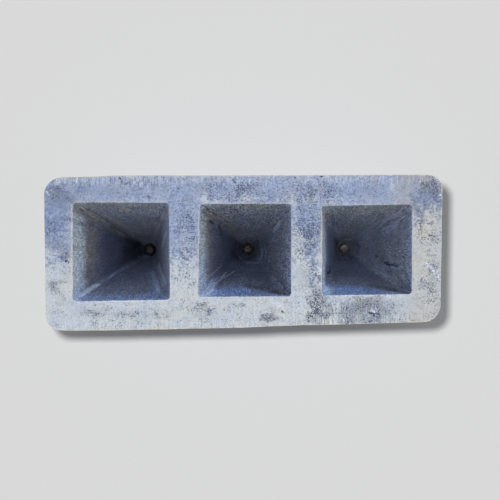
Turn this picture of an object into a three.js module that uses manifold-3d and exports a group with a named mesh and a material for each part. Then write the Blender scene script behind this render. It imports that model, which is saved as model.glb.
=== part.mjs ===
// Open-top pyramid sinker mould: one cast block with three tapered cavities in a row, and a loose
// steel pin standing in the bottom of each cavity. Lead is poured in from above. The pin closes the
// hole in the floor, cores a socket for the line eye, and is pushed up from below to free the sinker.
// Millimetres, +Z up. The origin is the middle of the base, in the plane that the mould stands on.
import * as THREE from "three";
import { mergeVertices } from "three/addons/utils/BufferGeometryUtils.js";
import Module from "manifold-3d";

const wasm = await Module();
wasm.setup();

// Plan of the block: the square mouths, and the metal left round them
const leftMouth = 31.7;
const middleMouth = 30;
const rightMouth = 29;
const leftEndWall = 9.7;
const leftWeb = 10.1;
const rightWeb = 10.4;
const rightEndWall = 10.2;
const leftBackWall = 9.3;
const middleBackWall = 9.8;
const rightBackWall = 10.1;
const leftFrontWall = 10.1;
const middleFrontWall = 10.4;
const rightFrontWall = 9.8;

// Outside of the casting: corners that differ a little, draft on the sides, a rounded base edge
const backLeftRadius = 5.8;
const backRightRadius = 4.9;
const frontRightRadius = 5.6;
const frontLeftRadius = 6;
const frontCornerLean = 0.5;
const frontBendRadius = 60;
const sideDraft = THREE.MathUtils.degToRad(1.5);
const topEdgeRadius = 0.8;
const baseEdgeRadius = 2.5;

// Heights inside the block, from the base up
const floorThickness = 4.7;
const neckDepth = 8.8;
const pyramidDepth = 44.5;

// Pyramid: flat walls, with corners that are tight at the mouth and open out to the round neck
const tipLand = 0.4;
const mouthCornerRadius = 0.9;
const rimBreak = 0.25;

// Drilled bottom of each cavity: a countersink, the neck, and the guide hole under its seat
const sinkDiameter = 9.4;
const sinkAngle = THREE.MathUtils.degToRad(70);
const neckDiameter = 5.8;
const neckDraft = THREE.MathUtils.degToRad(1);
const guideDiameter = 3.5;
const punchSinkDiameter = 5.4;
const punchSinkDepth = 0.9;

// Eye pin: a turned shoulder with a tapered nose above it and a straight tail below
const runningClearance = 0.08;
const seatGap = 0.3;
const shoulderThickness = 1.6;
const shoulderChamfer = 0.3;
const noseLength = 4.7;
const noseStep = 0.5;
const noseTaper = THREE.MathUtils.degToRad(6);
const noseCrown = 0.25;
const noseEdgeRadius = 0.3;
const tailChamfer = 0.4;
const tailRecess = 0.7;

// Modelling
const cutOverrun = 2;
const cornerSteps = 8;
const bendSteps = 4;
const edgeSteps = 4;
const roundSides = 48;

const neckTop = floorThickness + neckDepth;
const neckRadius = neckDiameter / 2;
const seatRadius = neckRadius - neckDepth * Math.tan(neckDraft);
const tipWidth = neckDiameter + 2 * tipLand;
const blockHeight = neckTop + pyramidDepth;
const blockLength =
  leftEndWall + leftMouth + leftWeb + middleMouth + rightWeb + rightMouth + rightEndWall;

const castAluminium = new THREE.MeshStandardMaterial({
  name: "cast aluminium",
  color: 0x9aa3b0,
  roughness: 0.55,
  metalness: 0.7,
});
const turnedSteel = new THREE.MeshStandardMaterial({
  name: "turned steel",
  color: 0x7d7b78,
  roughness: 0.45,
  metalness: 1,
});

// Cavities from left to right. X runs from the block's left end and Y from its straight back edge.
const cavities = placeCavities();

function placeCavities() {
  const leftX = leftEndWall + leftMouth / 2;
  const middleX = leftX + leftMouth / 2 + leftWeb + middleMouth / 2;
  const rightX = middleX + middleMouth / 2 + rightWeb + rightMouth / 2;
  return [
    cavityAt("left", leftX, leftMouth, leftBackWall, leftFrontWall),
    cavityAt("middle", middleX, middleMouth, middleBackWall, middleFrontWall),
    cavityAt("right", rightX, rightMouth, rightBackWall, rightFrontWall),
  ];
}

function cavityAt(name, x, mouth, backWall, frontWall) {
  return { name, x, y: -backWall - mouth / 2, mouth, frontEdge: -backWall - mouth - frontWall };
}

// A geometry as a solid for cutting and joining
function solidFrom(geometry) {
  const bare = geometry.clone();
  bare.deleteAttribute("normal");
  bare.deleteAttribute("uv");
  const merged = mergeVertices(bare);
  return new wasm.Manifold(
    new wasm.Mesh({
      numProp: 3,
      vertProperties: new Float32Array(merged.attributes.position.array),
      triVerts: new Uint32Array(merged.index.array),
    }),
  );
}

function geometryFrom(solid) {
  const mesh = solid.getMesh();
  const geometry = new THREE.BufferGeometry();
  geometry.setAttribute("position", new THREE.BufferAttribute(mesh.vertProperties, 3));
  geometry.setIndex(new THREE.BufferAttribute(mesh.triVerts, 1));
  const flatShaded = geometry.toNonIndexed();
  flatShaded.computeVertexNormals();
  return flatShaded;
}

// A closed skin over rings of points, listed from the bottom up, each ring anticlockwise from above
function loft(rings) {
  const count = rings[0].length;
  const positions = rings.flat().flatMap((point) => [point.x, point.y, point.z]);
  const faces = [];
  for (let level = 0; level + 1 < rings.length; level++) {
    for (let i = 0; i < count; i++) {
      const next = (i + 1) % count;
      const low = level * count;
      const high = low + count;
      faces.push(low + i, low + next, high + next);
      faces.push(low + i, high + next, high + i);
    }
  }
  const top = (rings.length - 1) * count;
  const flatRing = (ring) => ring.map((point) => new THREE.Vector2(point.x, point.y));
  for (const [a, b, c] of THREE.ShapeUtils.triangulateShape(flatRing(rings[0]), [])) {
    faces.push(a, c, b);
  }
  for (const [a, b, c] of THREE.ShapeUtils.triangulateShape(flatRing(rings.at(-1)), [])) {
    faces.push(top + a, top + b, top + c);
  }
  const geometry = new THREE.BufferGeometry();
  geometry.setAttribute("position", new THREE.Float32BufferAttribute(positions, 3));
  geometry.setIndex(faces);
  return geometry;
}

// Moves each side of an anticlockwise outline inwards by the same distance
function insetCorners(corners, distance) {
  return corners.map((corner, i) => {
    const before = corners.at(i - 1).point;
    const after = corners[(i + 1) % corners.length].point;
    const inA = corner.point.clone().sub(before).normalize();
    const inB = after.clone().sub(corner.point).normalize();
    const normalA = new THREE.Vector2(-inA.y, inA.x);
    const normalB = new THREE.Vector2(-inB.y, inB.x);
    const meeting = normalA.clone().add(normalB);
    const reach = distance / (1 + normalA.dot(normalB));
    return { ...corner, point: corner.point.clone().addScaledVector(meeting, reach) };
  });
}

// Points round an outline whose corners are arcs
function roundedRing(corners, height) {
  const ring = [];
  corners.forEach(({ point, radius, steps }, i) => {
    const before = corners.at(i - 1).point.clone().sub(point).normalize();
    const after = corners[(i + 1) % corners.length].point.clone().sub(point).normalize();
    const halfAngle = Math.acos(THREE.MathUtils.clamp(before.dot(after), -1, 1)) / 2;
    const bisector = before.clone().add(after).normalize();
    const centre = point.clone().addScaledVector(bisector, radius / Math.sin(halfAngle));
    const start = point.clone().addScaledVector(before, radius / Math.tan(halfAngle)).sub(centre);
    const turn = Math.PI - 2 * halfAngle;
    for (let step = 0; step <= steps; step++) {
      const spot = start.clone().rotateAround(new THREE.Vector2(), (turn * step) / steps);
      ring.push(new THREE.Vector3(centre.x + spot.x, centre.y + spot.y, height));
    }
  });
  return ring;
}

// Outline of the top face: a straight back, ends that lean in a little, and a front that bends
function blockCorners() {
  const [left, middle, right] = cavities;
  const leftSlope = (middle.frontEdge - left.frontEdge) / (middle.x - left.x);
  const rightSlope = (right.frontEdge - middle.frontEdge) / (right.x - middle.x);
  const frontLeftX = frontCornerLean;
  const frontRightX = blockLength - frontCornerLean;
  const corner = (x, y, radius, steps) => ({ point: new THREE.Vector2(x, y), radius, steps });
  return [
    corner(frontLeftX, left.frontEdge + leftSlope * (frontLeftX - left.x), frontLeftRadius, cornerSteps),
    corner(middle.x, middle.frontEdge, frontBendRadius, bendSteps),
    corner(frontRightX, right.frontEdge + rightSlope * (frontRightX - right.x), frontRightRadius, cornerSteps),
    corner(blockLength, 0, backRightRadius, cornerSteps),
    corner(0, 0, backLeftRadius, cornerSteps),
  ];
}

// The casting before its cavities are cut
function blockBlank(corners) {
  const ringAt = (height, edgeInset) => {
    const inset = (blockHeight - height) * Math.tan(sideDraft) + edgeInset;
    return roundedRing(insetCorners(corners, inset), height);
  };
  const rings = [];
  for (let step = 0; step <= edgeSteps; step++) {
    const turn = (Math.PI / 2) * (step / edgeSteps);
    const rise = baseEdgeRadius * (1 - Math.cos(turn));
    rings.push(ringAt(rise, baseEdgeRadius * (1 - Math.sin(turn))));
  }
  for (let step = 0; step <= edgeSteps; step++) {
    const turn = (Math.PI / 2) * (step / edgeSteps);
    const fall = topEdgeRadius * (1 - Math.sin(turn));
    rings.push(ringAt(blockHeight - fall, topEdgeRadius * (1 - Math.cos(turn))));
  }
  return solidFrom(loft(rings));
}

// A square ring with rounded corners, centred on the axis
function squareRing(halfWidth, radius, height) {
  const sides = [[-1, -1], [1, -1], [1, 1], [-1, 1]];
  const corners = sides.map(([sideX, sideY]) => ({
    point: new THREE.Vector2(sideX * halfWidth, sideY * halfWidth),
    radius,
    steps: cornerSteps,
  }));
  return roundedRing(corners, height);
}

// The pyramid that fills a cavity, carried on past the top face
function pyramidCutter(mouth) {
  const slope = (mouth - tipWidth) / 2 / pyramidDepth;
  const walls = loft([
    squareRing(tipWidth / 2, neckRadius, neckTop),
    squareRing(mouth / 2, mouthCornerRadius, blockHeight),
    squareRing(mouth / 2 + slope * cutOverrun, mouthCornerRadius, blockHeight + cutOverrun),
  ]);
  const breakRadius = mouthCornerRadius + rimBreak;
  const rim = loft([
    squareRing(mouth / 2 - slope * rimBreak, mouthCornerRadius, blockHeight - rimBreak),
    squareRing(mouth / 2 + rimBreak, breakRadius, blockHeight),
    squareRing(mouth / 2 + rimBreak, breakRadius, blockHeight + cutOverrun),
  ]);
  return solidFrom(walls).add(solidFrom(rim));
}

// A solid turned about the Z axis, from radius and height pairs listed from the bottom up
function turned(profile) {
  const points = profile.map(([radius, height]) => new THREE.Vector2(radius, height));
  return new THREE.LatheGeometry(points, roundSides).rotateX(Math.PI / 2);
}

// The drilled bottom, from the sink for the punch up to the countersink where it meets the walls
function drilledCutter(mouth) {
  const sinkRadius = sinkDiameter / 2;
  const sinkRise = (sinkRadius - neckRadius) / Math.tan(sinkAngle / 2);
  const wallMeets = (sinkDiameter - tipWidth) / (mouth - tipWidth);
  const sinkTop = neckTop + Math.max(sinkRise, pyramidDepth * wallMeets) + cutOverrun;
  return solidFrom(
    turned([
      [0, -cutOverrun],
      [punchSinkDiameter / 2, -cutOverrun],
      [punchSinkDiameter / 2, 0],
      [guideDiameter / 2, punchSinkDepth],
      [guideDiameter / 2, floorThickness],
      [seatRadius, floorThickness],
      [neckRadius, neckTop],
      [sinkRadius, neckTop + sinkRise],
      [sinkRadius, sinkTop],
      [0, sinkTop],
    ]),
  );
}

function mouldBlock(corners) {
  let solid = blockBlank(corners);
  for (const { x, y, mouth } of cavities) {
    const cutter = pyramidCutter(mouth).add(drilledCutter(mouth));
    solid = solid.subtract(cutter.translate([x, y, 0]));
  }
  const mesh = new THREE.Mesh(geometryFrom(solid), castAluminium);
  mesh.name = "mould_block";
  return mesh;
}

// The pin's own height zero is the underside of its shoulder
function eyePinGeometry() {
  const shoulderRadius = seatRadius - runningClearance;
  const tailRadius = guideDiameter / 2 - runningClearance;
  const tailEnd = tailRecess - floorThickness - seatGap;
  const noseTop = shoulderThickness + noseLength;
  const noseRadius = shoulderRadius - noseStep;
  const tipRadius = noseRadius - noseLength * Math.tan(noseTaper);
  return turned([
    [0, tailEnd],
    [tailRadius - tailChamfer, tailEnd],
    [tailRadius, tailEnd + tailChamfer],
    [tailRadius, 0],
    [shoulderRadius - shoulderChamfer, 0],
    [shoulderRadius, shoulderChamfer],
    [shoulderRadius, shoulderThickness - shoulderChamfer],
    [shoulderRadius - shoulderChamfer, shoulderThickness],
    [noseRadius, shoulderThickness],
    [tipRadius, noseTop - noseCrown - noseEdgeRadius],
    [tipRadius - noseEdgeRadius, noseTop - noseCrown],
    [0, noseTop],
  ]);
}

function eyePin(cavity) {
  const mesh = new THREE.Mesh(eyePinGeometry(), turnedSteel);
  mesh.name = `${cavity.name}_eye_pin`;
  mesh.position.set(cavity.x, cavity.y, floorThickness + seatGap);
  return mesh;
}

const corners = blockCorners();
const plan = new THREE.Box2().setFromPoints(
  roundedRing(corners, 0).map((point) => new THREE.Vector2(point.x, point.y)),
);
const middleOfPlan = plan.getCenter(new THREE.Vector2());

const sinkerMould = new THREE.Group();
sinkerMould.name = "sinker_mould";
sinkerMould.position.set(-middleOfPlan.x, -middleOfPlan.y, 0);
sinkerMould.add(mouldBlock(corners));
for (const cavity of cavities) {
  sinkerMould.add(eyePin(cavity));
}

export default sinkerMould;
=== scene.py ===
"""Looks of an open-top pyramid sinker mould: a worn aluminium block and its three steel eye pins."""

import itertools
import math

import bpy
import numpy as np
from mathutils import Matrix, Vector


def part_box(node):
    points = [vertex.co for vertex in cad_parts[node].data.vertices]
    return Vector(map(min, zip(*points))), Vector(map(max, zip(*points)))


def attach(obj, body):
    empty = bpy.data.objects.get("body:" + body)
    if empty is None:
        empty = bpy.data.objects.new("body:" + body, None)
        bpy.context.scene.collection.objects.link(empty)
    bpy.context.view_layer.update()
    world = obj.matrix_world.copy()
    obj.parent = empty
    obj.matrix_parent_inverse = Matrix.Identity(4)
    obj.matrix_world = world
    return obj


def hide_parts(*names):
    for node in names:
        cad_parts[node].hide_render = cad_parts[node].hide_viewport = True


bl_info = {
    "name": "Sinker mould",
    "version": (1, 0, 0),
    "blender": (4, 5, 0),
    "location": "View3D > Sidebar > Sinker mould",
    "description": "Builds a worn aluminium sinker mould and a plain studio stage around its frame",
    "category": "Object",
}

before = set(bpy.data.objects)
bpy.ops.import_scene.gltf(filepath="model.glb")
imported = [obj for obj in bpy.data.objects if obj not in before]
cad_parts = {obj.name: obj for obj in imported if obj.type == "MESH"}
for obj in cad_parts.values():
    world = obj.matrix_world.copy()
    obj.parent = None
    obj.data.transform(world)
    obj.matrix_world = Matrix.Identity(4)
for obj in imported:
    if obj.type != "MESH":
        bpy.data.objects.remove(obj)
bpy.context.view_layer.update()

MM = 0.001
_, BLOCK_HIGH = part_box("mould_block")

# Places and fixed shapes of the casting, in millimetres. Sides run front, right, back, left.
TOP = BLOCK_HIGH.z / MM
HALF_LENGTH = BLOCK_HIGH.x / MM
HALF_WIDTH = BLOCK_HIGH.y / MM
CAVITIES = ("left", "middle", "right")
FLOOR_THICKNESS = 4.7
NECK_TOP = 13.5
NECK_DIAMETER = 5.8
NECK_DRAFT = math.radians(1)
TIP_LAND = 0.4
SINK_DIAMETER = 9.4
SINK_ANGLE = math.radians(70)
GUIDE_DIAMETER = 3.5
PUNCH_SINK_DIAMETER = 5.4
PUNCH_SINK_DEPTH = 0.9
SIDE_DRAFT = math.radians(1.5)
BASE_EDGE_RADIUS = 2.5
CORNER_RADII = (5.3, 5.6, 4.9, 5.8)
END_LEAN = 0.6
# How far the front edge lies behind the frame's box, and the back edge before it, at some X values
FRONT_GAPS = (
    (-65.5, 0.0),
    (-46, 0.15),
    (-31, 0.45),
    (-15, 0.85),
    (1, 1.25),
    (9, 1.65),
    (20, 2.05),
    (32, 2.3),
    (44, 2.7),
    (65.5, 3.35),
)
BACK_GAPS = (
    (-65.5, 0.85),
    (-55, 0.62),
    (-48, 0.5),
    (-43, 0.15),
    (-20, 0.12),
    (0, 0.2),
    (30, 0.12),
    (65.5, 0.06),
)

# How finely the casting and the pins are meshed
SIDE_STEPS = 64
FACE_STEPS = 20
WALL_STEPS = 46
OUTER_STEPS = 30
EDGE_STEPS = 4
BASE_STEPS = 8
ARC_POINTS = 25
LONG_SIDE_POINTS = 60
PIN_SIDES = 64
PIN_STEP = 0.25
# How close together rings lie at their start and their end, where 1 is as in the middle
WALL_CROWDING = (0.12, 0.35)
FACE_CROWDING = (0.4, 0.5)
# Points that are nearer than this, in millimetres, are one
WELD_GRAIN = 1e-3
# Turns between faces that look sharp
CASTING_SHARPNESS = math.radians(38)
PIN_SHARPNESS = math.radians(35)


def srgb(*values):
    """A colour given as 0 to 255 display values, as linear light."""
    shares = [value / 255 for value in values]
    return tuple(((share + 0.055) / 1.055) ** 2.4 if share > 0.04045 else share / 12.92 for share in shares)


# Properties that a user would change


def length_property(name, description, millimetres):
    return bpy.props.FloatProperty(
        name=name, description=description, default=millimetres * MM, min=0, unit="LENGTH", precision=5
    )


def colour_property(name, description, value):
    return bpy.props.FloatVectorProperty(
        name=name, description=description, default=value, size=3, min=0, max=1, subtype="COLOR"
    )


def power_property(name, description, watts):
    return bpy.props.FloatProperty(name=name, description=description, default=watts, min=0, unit="POWER")


class CastingSizes(bpy.types.PropertyGroup):
    """Sizes of the visible casting."""

    left_mouth: length_property("Left mouth", "Width of the left cavity at the top face", 31.7)
    middle_mouth: length_property("Middle mouth", "Width of the middle cavity at the top face", 30)
    right_mouth: length_property("Right mouth", "Width of the right cavity at the top face", 29)
    mouth_corner: length_property("Mouth corner", "Radius of a cavity's corners at the top face", 0.9)
    rim_break: length_property("Rim break", "Width of the worn edge round each mouth", 0.25)
    top_edge: length_property("Top edge", "Radius of the block's outer top edge", 0.2)
    grain: length_property("Casting grain", "Depth of the as-cast skin on the sides", 0.16)
    edge_wander: length_property("Edge wander", "How far the hand-finished edges wander", 0.07)


class PinSizes(bpy.types.PropertyGroup):
    """Sizes of the turned eye pins."""

    nose_step: length_property("Nose step", "Width of the shoulder's ledge round the nose", 0.5)
    shoulder: length_property("Shoulder", "Thickness of the pin's shoulder", 1.6)
    chamfer: length_property("Chamfer", "Width of the shoulder's chamfers", 0.3)
    pitting: length_property("Pitting", "Depth of the pits in the pin's tip", 0.32)
    tail_clearance: length_property("Tail clearance", "Room round the tail in its guide hole", 0.08)
    taper: bpy.props.FloatProperty(
        name="Taper", description="Slope of the nose's sides", default=math.radians(6), subtype="ANGLE"
    )


class CastingColours(bpy.types.PropertyGroup):
    """Colours of the worn aluminium and the steel, with the painted light and shade among them."""

    # Painted reflection: the pale and blue metal also turn the top face from blue at the back to pale at
    # the front, as the sky's reflection does
    pale: colour_property("Pale metal", "Bright, rubbed aluminium", srgb(194, 201, 209))
    blue: colour_property("Blue metal", "Cooler, duller aluminium", srgb(150, 163, 193))
    deep_blue: colour_property("Deep blue metal", "The dullest, bluest aluminium", srgb(116, 132, 166))
    grey: colour_property("Grey metal", "Scoured aluminium behind the right cavity", srgb(158, 164, 179))
    speck: colour_property("Specks", "What the pits leave of the metal's colour", (0.33, 0.40, 0.50))
    fleck: colour_property("Flecks", "Bright grains between the pits", srgb(206, 208, 212))
    smudge: colour_property("Smudges", "Soot and lead rubbed into the face", srgb(112, 121, 141))
    neutral: colour_property("Neutral metal", "Warmer aluminium at the right end", srgb(190, 192, 194))
    side: colour_property("Cast skin", "As-cast aluminium of the sides", srgb(158, 165, 176))
    burr: colour_property("Burr", "Bright metal on the mouths' edges", srgb(214, 210, 200))
    wall: colour_property("Cavity wall", "Heat-darkened cavity wall", srgb(119, 128, 155))
    # Painted light: the paler, greyer colour that the walls, the back walls most, show by the way they face
    # the light
    wall_back: colour_property("Back wall", "Paler, greyer back walls", srgb(162, 167, 178))
    # Painted light: the four rim colours below are the band of light that the walls catch just under each
    # rim, differing with the way each wall faces
    rim_front: colour_property("Front rim", "Cavity wall just under the front rim", srgb(130, 158, 214))
    rim_right: colour_property("Right rim", "Cavity wall just under the right rim", srgb(128, 148, 188))
    rim_back: colour_property("Back rim", "Cavity wall just under the back rim", srgb(156, 161, 162))
    rim_left: colour_property("Left rim", "Cavity wall just under the left rim", srgb(226, 238, 248))
    brown: colour_property("Brown stain", "Stain in the corners and on the left walls", srgb(149, 148, 147))
    soot: colour_property("Soot", "Soot deep in the cavities", srgb(45, 53, 54))
    # Painted glints: bright flecks of reflected light under the rims
    glint: colour_property("Glint", "Bright flecks under the rims", srgb(190, 205, 232))
    # Painted highlight: the colour of light patches on the walls, and of the blue that the left rims'
    # painted light takes towards the front
    rim_glow: colour_property("Rim glow", "Light patches in the front left corners", srgb(190, 212, 248))
    scratch: colour_property("Scratch", "Bright scratches and fringes", srgb(222, 232, 252))
    wall_scratch: colour_property("Wall scratch", "Scratches down the cavity walls", srgb(184, 199, 226))
    tan: colour_property("Tan scratch", "Warm scratches", srgb(206, 198, 180))
    crack: colour_property("Crack", "Dark cracks and gouges", srgb(34, 38, 50))
    steel: colour_property("Pin steel", "Dull steel of the pins' tips", srgb(150, 147, 144))
    scale: colour_property("Scale", "Soot and mill scale on the pins", srgb(58, 58, 62))


class StageSettings(bpy.types.PropertyGroup):
    """The camera, the floor and the lamps."""

    camera_height: length_property("Camera height", "Height of the camera above the top face", 178)
    lens: bpy.props.FloatProperty(
        name="Lens", description="Focal length of the camera", default=39.08, unit="CAMERA"
    )
    floor_colour: colour_property("Floor", "Colour of the floor and the backdrop", srgb(217, 217, 217))
    sky: bpy.props.FloatProperty(
        name="Sky", description="Strength of the light from all round", default=0.2
    )
    overhead: power_property("Overhead", "Power of the large lamp above", 2.25)
    low_back: power_property("Low back", "Power of the low lamp behind", 1.43)
    low_right: power_property("Low right", "Power of the low lamp on the right", 1.2)
    low_front: power_property("Low front", "Power of the low lamp in front", 0.68)
    low_left: power_property("Low left", "Power of the low lamp on the left", 0.68)
    floor_lamp: power_property("Floor lamp", "Power of the small lamp that shades the floor", 0.44)
    floor_lamp_size: length_property("Floor lamp size", "Width of the small lamp", 12.4)
    shadow_shift: length_property("Shadow shift", "How far the small lamp stands off the camera", 11.8)
    palest_floor: bpy.props.FloatProperty(
        name="Palest floor", description="Most that the floor's paint reflects", default=0.82
    )


# Shader trees

# Sockets of a node that mixes colours, whose names aren't unique: its factor and colours, and its result
MIX_INPUTS = (0, 6, 7)
MIX_OUTPUT = 2
# Where a stroke starts and ends to fade, beside its reach: in a material, and on a mesh
THIN_STROKE_EDGE = (0.3, 1.2)
BROAD_STROKE_EDGE = (0.2, 1.3)


class Field:
    """One output of a node. Arithmetic on it adds Math nodes."""

    def __init__(self, finish, socket):
        self.finish = finish
        self.socket = socket

    def maths(self, operation, *values):
        inputs = dict(enumerate(values))
        return self.finish.node("ShaderNodeMath", {"operation": operation}, inputs)

    def __add__(self, other):
        return self.maths("ADD", self, other)

    __radd__ = __add__

    def __sub__(self, other):
        return self.maths("SUBTRACT", self, other)

    def __rsub__(self, other):
        return self.maths("SUBTRACT", other, self)

    def __mul__(self, other):
        return self.maths("MULTIPLY", self, other)

    __rmul__ = __mul__

    def __truediv__(self, other):
        return self.maths("DIVIDE", self, other)

    def __rtruediv__(self, other):
        return self.maths("DIVIDE", other, self)

    def __pow__(self, other):
        return self.maths("POWER", self, other)

    def __rpow__(self, other):
        return self.maths("POWER", other, self)

    def least(self, other):
        return self.maths("MINIMUM", self, other)

    def most(self, other):
        return self.maths("MAXIMUM", self, other)

    def rise(self, low, high):
        """Zero below low, one above high, and smooth between them."""
        return self.finish.node(
            "ShaderNodeMapRange",
            {"interpolation_type": "SMOOTHSTEP"},
            {"Value": self, "From Min": low, "From Max": high},
        )


class Finish:
    """A new material or world in the making."""

    def __init__(self, name, world=False):
        self.owner = (bpy.data.worlds if world else bpy.data.materials).new(name)
        self.owner.use_nodes = True
        self.tree = self.owner.node_tree
        self.tree.nodes.clear()

    def node(self, kind, settings=None, inputs=None, output=0):
        """Any node: its settings come first, then the values or links of its sockets."""
        node = self.tree.nodes.new(kind)
        for key, value in (settings or {}).items():
            setattr(node, key, value)
        for key, value in (inputs or {}).items():
            if isinstance(value, Field):
                self.tree.links.new(value.socket, node.inputs[key])
            else:
                node.inputs[key].default_value = value
        return Field(self, node.outputs[output]) if node.outputs else None

    def attribute(self, name, output="Fac"):
        """A mesh attribute, as a number, a Color or a Vector."""
        return self.node("ShaderNodeAttribute", {"attribute_name": name}, output=output)

    def place(self, stretch=(1, 1, 1)):
        """The object's own coordinates in millimetres, stretched along each axis."""
        coordinates = self.node("ShaderNodeTexCoord", output="Object")
        return self.scaled_by(coordinates, tuple(s / MM for s in stretch))

    def vector(self, operation, *values, output="Vector"):
        """Vector arithmetic, whose output is a Value where it makes a number."""
        inputs = dict(enumerate(values))
        return self.node("ShaderNodeVectorMath", {"operation": operation}, inputs, output)

    def scaled_by(self, vector, factors):
        """A vector stretched along each axis."""
        return self.vector("MULTIPLY", vector, factors)

    def scaled(self, colour, value):
        """A colour made brighter or darker."""
        return self.node("ShaderNodeVectorMath", {"operation": "SCALE"}, {"Vector": colour, "Scale": value})

    def noise(self, place, scale, detail=2.0, roughness=0.5, distortion=0.0, output="Fac"):
        """Noise between about 0.2 and 0.8."""
        values = {
            "Vector": place,
            "Scale": scale,
            "Detail": detail,
            "Roughness": roughness,
            "Distortion": distortion,
        }
        return self.node("ShaderNodeTexNoise", {}, values, output)

    def mix(self, factor, a, b, blend="MIX"):
        """Colour a turning into colour b, or into what another way of blending makes of both."""
        settings = {"data_type": "RGBA", "blend_type": blend}
        inputs = dict(zip(MIX_INPUTS, (factor, opaque(a), opaque(b))))
        return self.node("ShaderNodeMix", settings, inputs, MIX_OUTPUT)

    def wandering(self, place, scale, reach):
        """Places moved about, so that straight strokes drawn over them wander."""
        noise = self.noise(place, scale, detail=1, output="Color")
        shift = self.vector("MULTIPLY_ADD", noise, (reach,) * 3, (-reach / 2,) * 3)
        return self.vector("ADD", place, shift)

    def strokes(self, place, rows):
        """Thin strokes, each over those before it."""
        total = 0
        for reach, strength, *run in rows:
            for start, end in itertools.pairwise(in_space(run)):
                total = self.stroke(place, Vector(start), Vector(end), reach, strength, total)
        return total

    def stroke(self, place, start, end, reach, strength, outside):
        """A thin straight stroke, with another value outside its reach."""
        way = end - start
        along = way / way.length_squared
        settings = {"operation": "SUBTRACT", "use_clamp": True}
        dot = self.vector("DOT_PRODUCT", place, along, output="Value")
        share = self.node("ShaderNodeMath", settings, {0: dot, 1: start.dot(along)})
        nearest = self.vector("ADD", self.scaled(way, share), start)
        distance = self.vector("DISTANCE", place, nearest, output="Value")
        edge_start, edge_end = THIN_STROKE_EDGE
        fall = {"Value": distance, "From Min": edge_start * reach, "From Max": edge_end * reach}
        fall |= {"To Min": strength, "To Max": outside}
        return self.node("ShaderNodeMapRange", {"interpolation_type": "SMOOTHSTEP"}, fall)

    def grey(self, value):
        """A neutral colour of this brightness."""
        return self.node("ShaderNodeCombineColor", {}, {"Red": value, "Green": value, "Blue": value})

    def bump(self, height):
        """The normal of a surface that this height, in millimetres, roughens."""
        return self.node("ShaderNodeBump", {}, {"Distance": MM, "Height": height})

    def surface(self, constants, **links):
        """The material's one shader."""
        inputs = dict(constants)
        inputs.update({key.replace("_", " "): value for key, value in links.items()})
        shader = self.node("ShaderNodeBsdfPrincipled", {}, inputs)
        self.node("ShaderNodeOutputMaterial", {}, {"Surface": shader})
        return self.owner

    def seen_by_eye(self):
        """One for rays from the camera, straight or by way of metal or glass, and zero for light."""
        straight = self.node("ShaderNodeLightPath", output="Is Camera Ray")
        outputs = straight.socket.node.outputs
        glossy, through = (Field(self, outputs[name]) for name in ("Is Glossy Ray", "Is Transmission Ray"))
        return straight.most(glossy).most(through)


def opaque(colour):
    return colour if isinstance(colour, Field) else (*colour, 1)


# The top face's height without the last digits of the frame's numbers
FACE_HEIGHT = round(TOP, 3)


def in_space(run):
    """A stroke's points, those without a height at the top face's."""
    return [(*point, FACE_HEIGHT)[:3] for point in run]


# Smooth numbers over places


def smooth_rise(value, low, high):
    t = np.clip((value - low) / (high - low), 0, 1)
    return t * t * (3 - 2 * t)


def grain_noise(points, size, seed):
    """Smooth noise from 0 to 1 at points, with a grain of the given size."""
    cells = 32
    table = np.random.default_rng(seed).random((cells, cells, cells))
    places = points / size
    low = np.floor(places).astype(int)
    part = places - low
    part = part * part * (3 - 2 * part)
    total = np.zeros(len(points))
    for corner in itertools.product((0, 1), repeat=3):
        index = (low + corner) % cells
        weight = np.prod(np.where(corner, part, 1 - part), axis=1)
        total += weight * table[index[:, 0], index[:, 1], index[:, 2]]
    return total


# The casting's and the pins' noises: the size of their grain in millimetres, and their seeds
GRAINS = {
    "broad": (7, 1),
    "middling": (2.6, 2),
    "fringe_highlight": (3.3, 3),
    "stains": (17, 4),
    "uneven": (3.1, 5),
    "waves": (9, 11),
    "lumps": (2.4, 12),
    "pits": (1.3, 13),
    "mouth_edge": (3.5, 14),
    "outer_edge": (5, 15),
    "nicks": (1.7, 16),
    "tip_pits": (0.6, 21),
    "tip_dents": (1.2, 22),
    "tip_soot": (0.8, 23),
    "far_x": (2.1, 31),
    "far_y": (2.1, 32),
    "near_x": (0.9, 33),
    "near_y": (0.9, 34),
}


def grain(points, name):
    return grain_noise(points, *GRAINS[name])


def patch(x, y, centre, reach, turn=0.0, soft=0.6):
    """One inside an ellipse, zero outside it, with a soft edge."""
    dx, dy = x - centre[0], y - centre[1]
    c, s = math.cos(math.radians(turn)), math.sin(math.radians(turn))
    along = (dx * c + dy * s) / reach[0]
    across = (dy * c - dx * s) / reach[1]
    return 1 - smooth_rise(np.hypot(along, across), 1 - soft, 1 + soft)


# Rings of the casting. Every ring has SIDE_STEPS points on each of its four sides, from corner to corner.


def side_places():
    """Places along a side from -1 up to just under 1, closer together near its corners."""
    even = np.linspace(-1, 1, SIDE_STEPS, endpoint=False)
    evenness_share = 0.35
    return evenness_share * even + (1 - evenness_share) * np.sin(even * math.pi / 2)


def unit_square():
    """Points round a square from -1 to 1, anticlockwise from its front left corner."""
    u = side_places()
    one = np.ones_like(u)
    sides = [(u, -one), (one, u), (-u, one), (-one, -u)]
    return np.concatenate([np.stack(side, axis=1) for side in sides])


SQUARE = unit_square()


def rounded_square(half, radius):
    """The square's rays, met by a square whose corners are arcs."""
    ring = SQUARE * half
    inner = half - radius
    corner = (np.abs(ring) > inner).all(axis=1)
    rays = ring[corner]
    centres = np.sign(rays) * inner
    length = (rays**2).sum(axis=1)
    along = (rays * centres).sum(axis=1)
    room = along**2 - length * (2 * inner**2 - radius**2)
    ring[corner] = rays * ((along + np.sqrt(room)) / length)[:, None]
    return ring


def circle(radius):
    return SQUARE / np.linalg.norm(SQUARE, axis=1, keepdims=True) * radius


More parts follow.
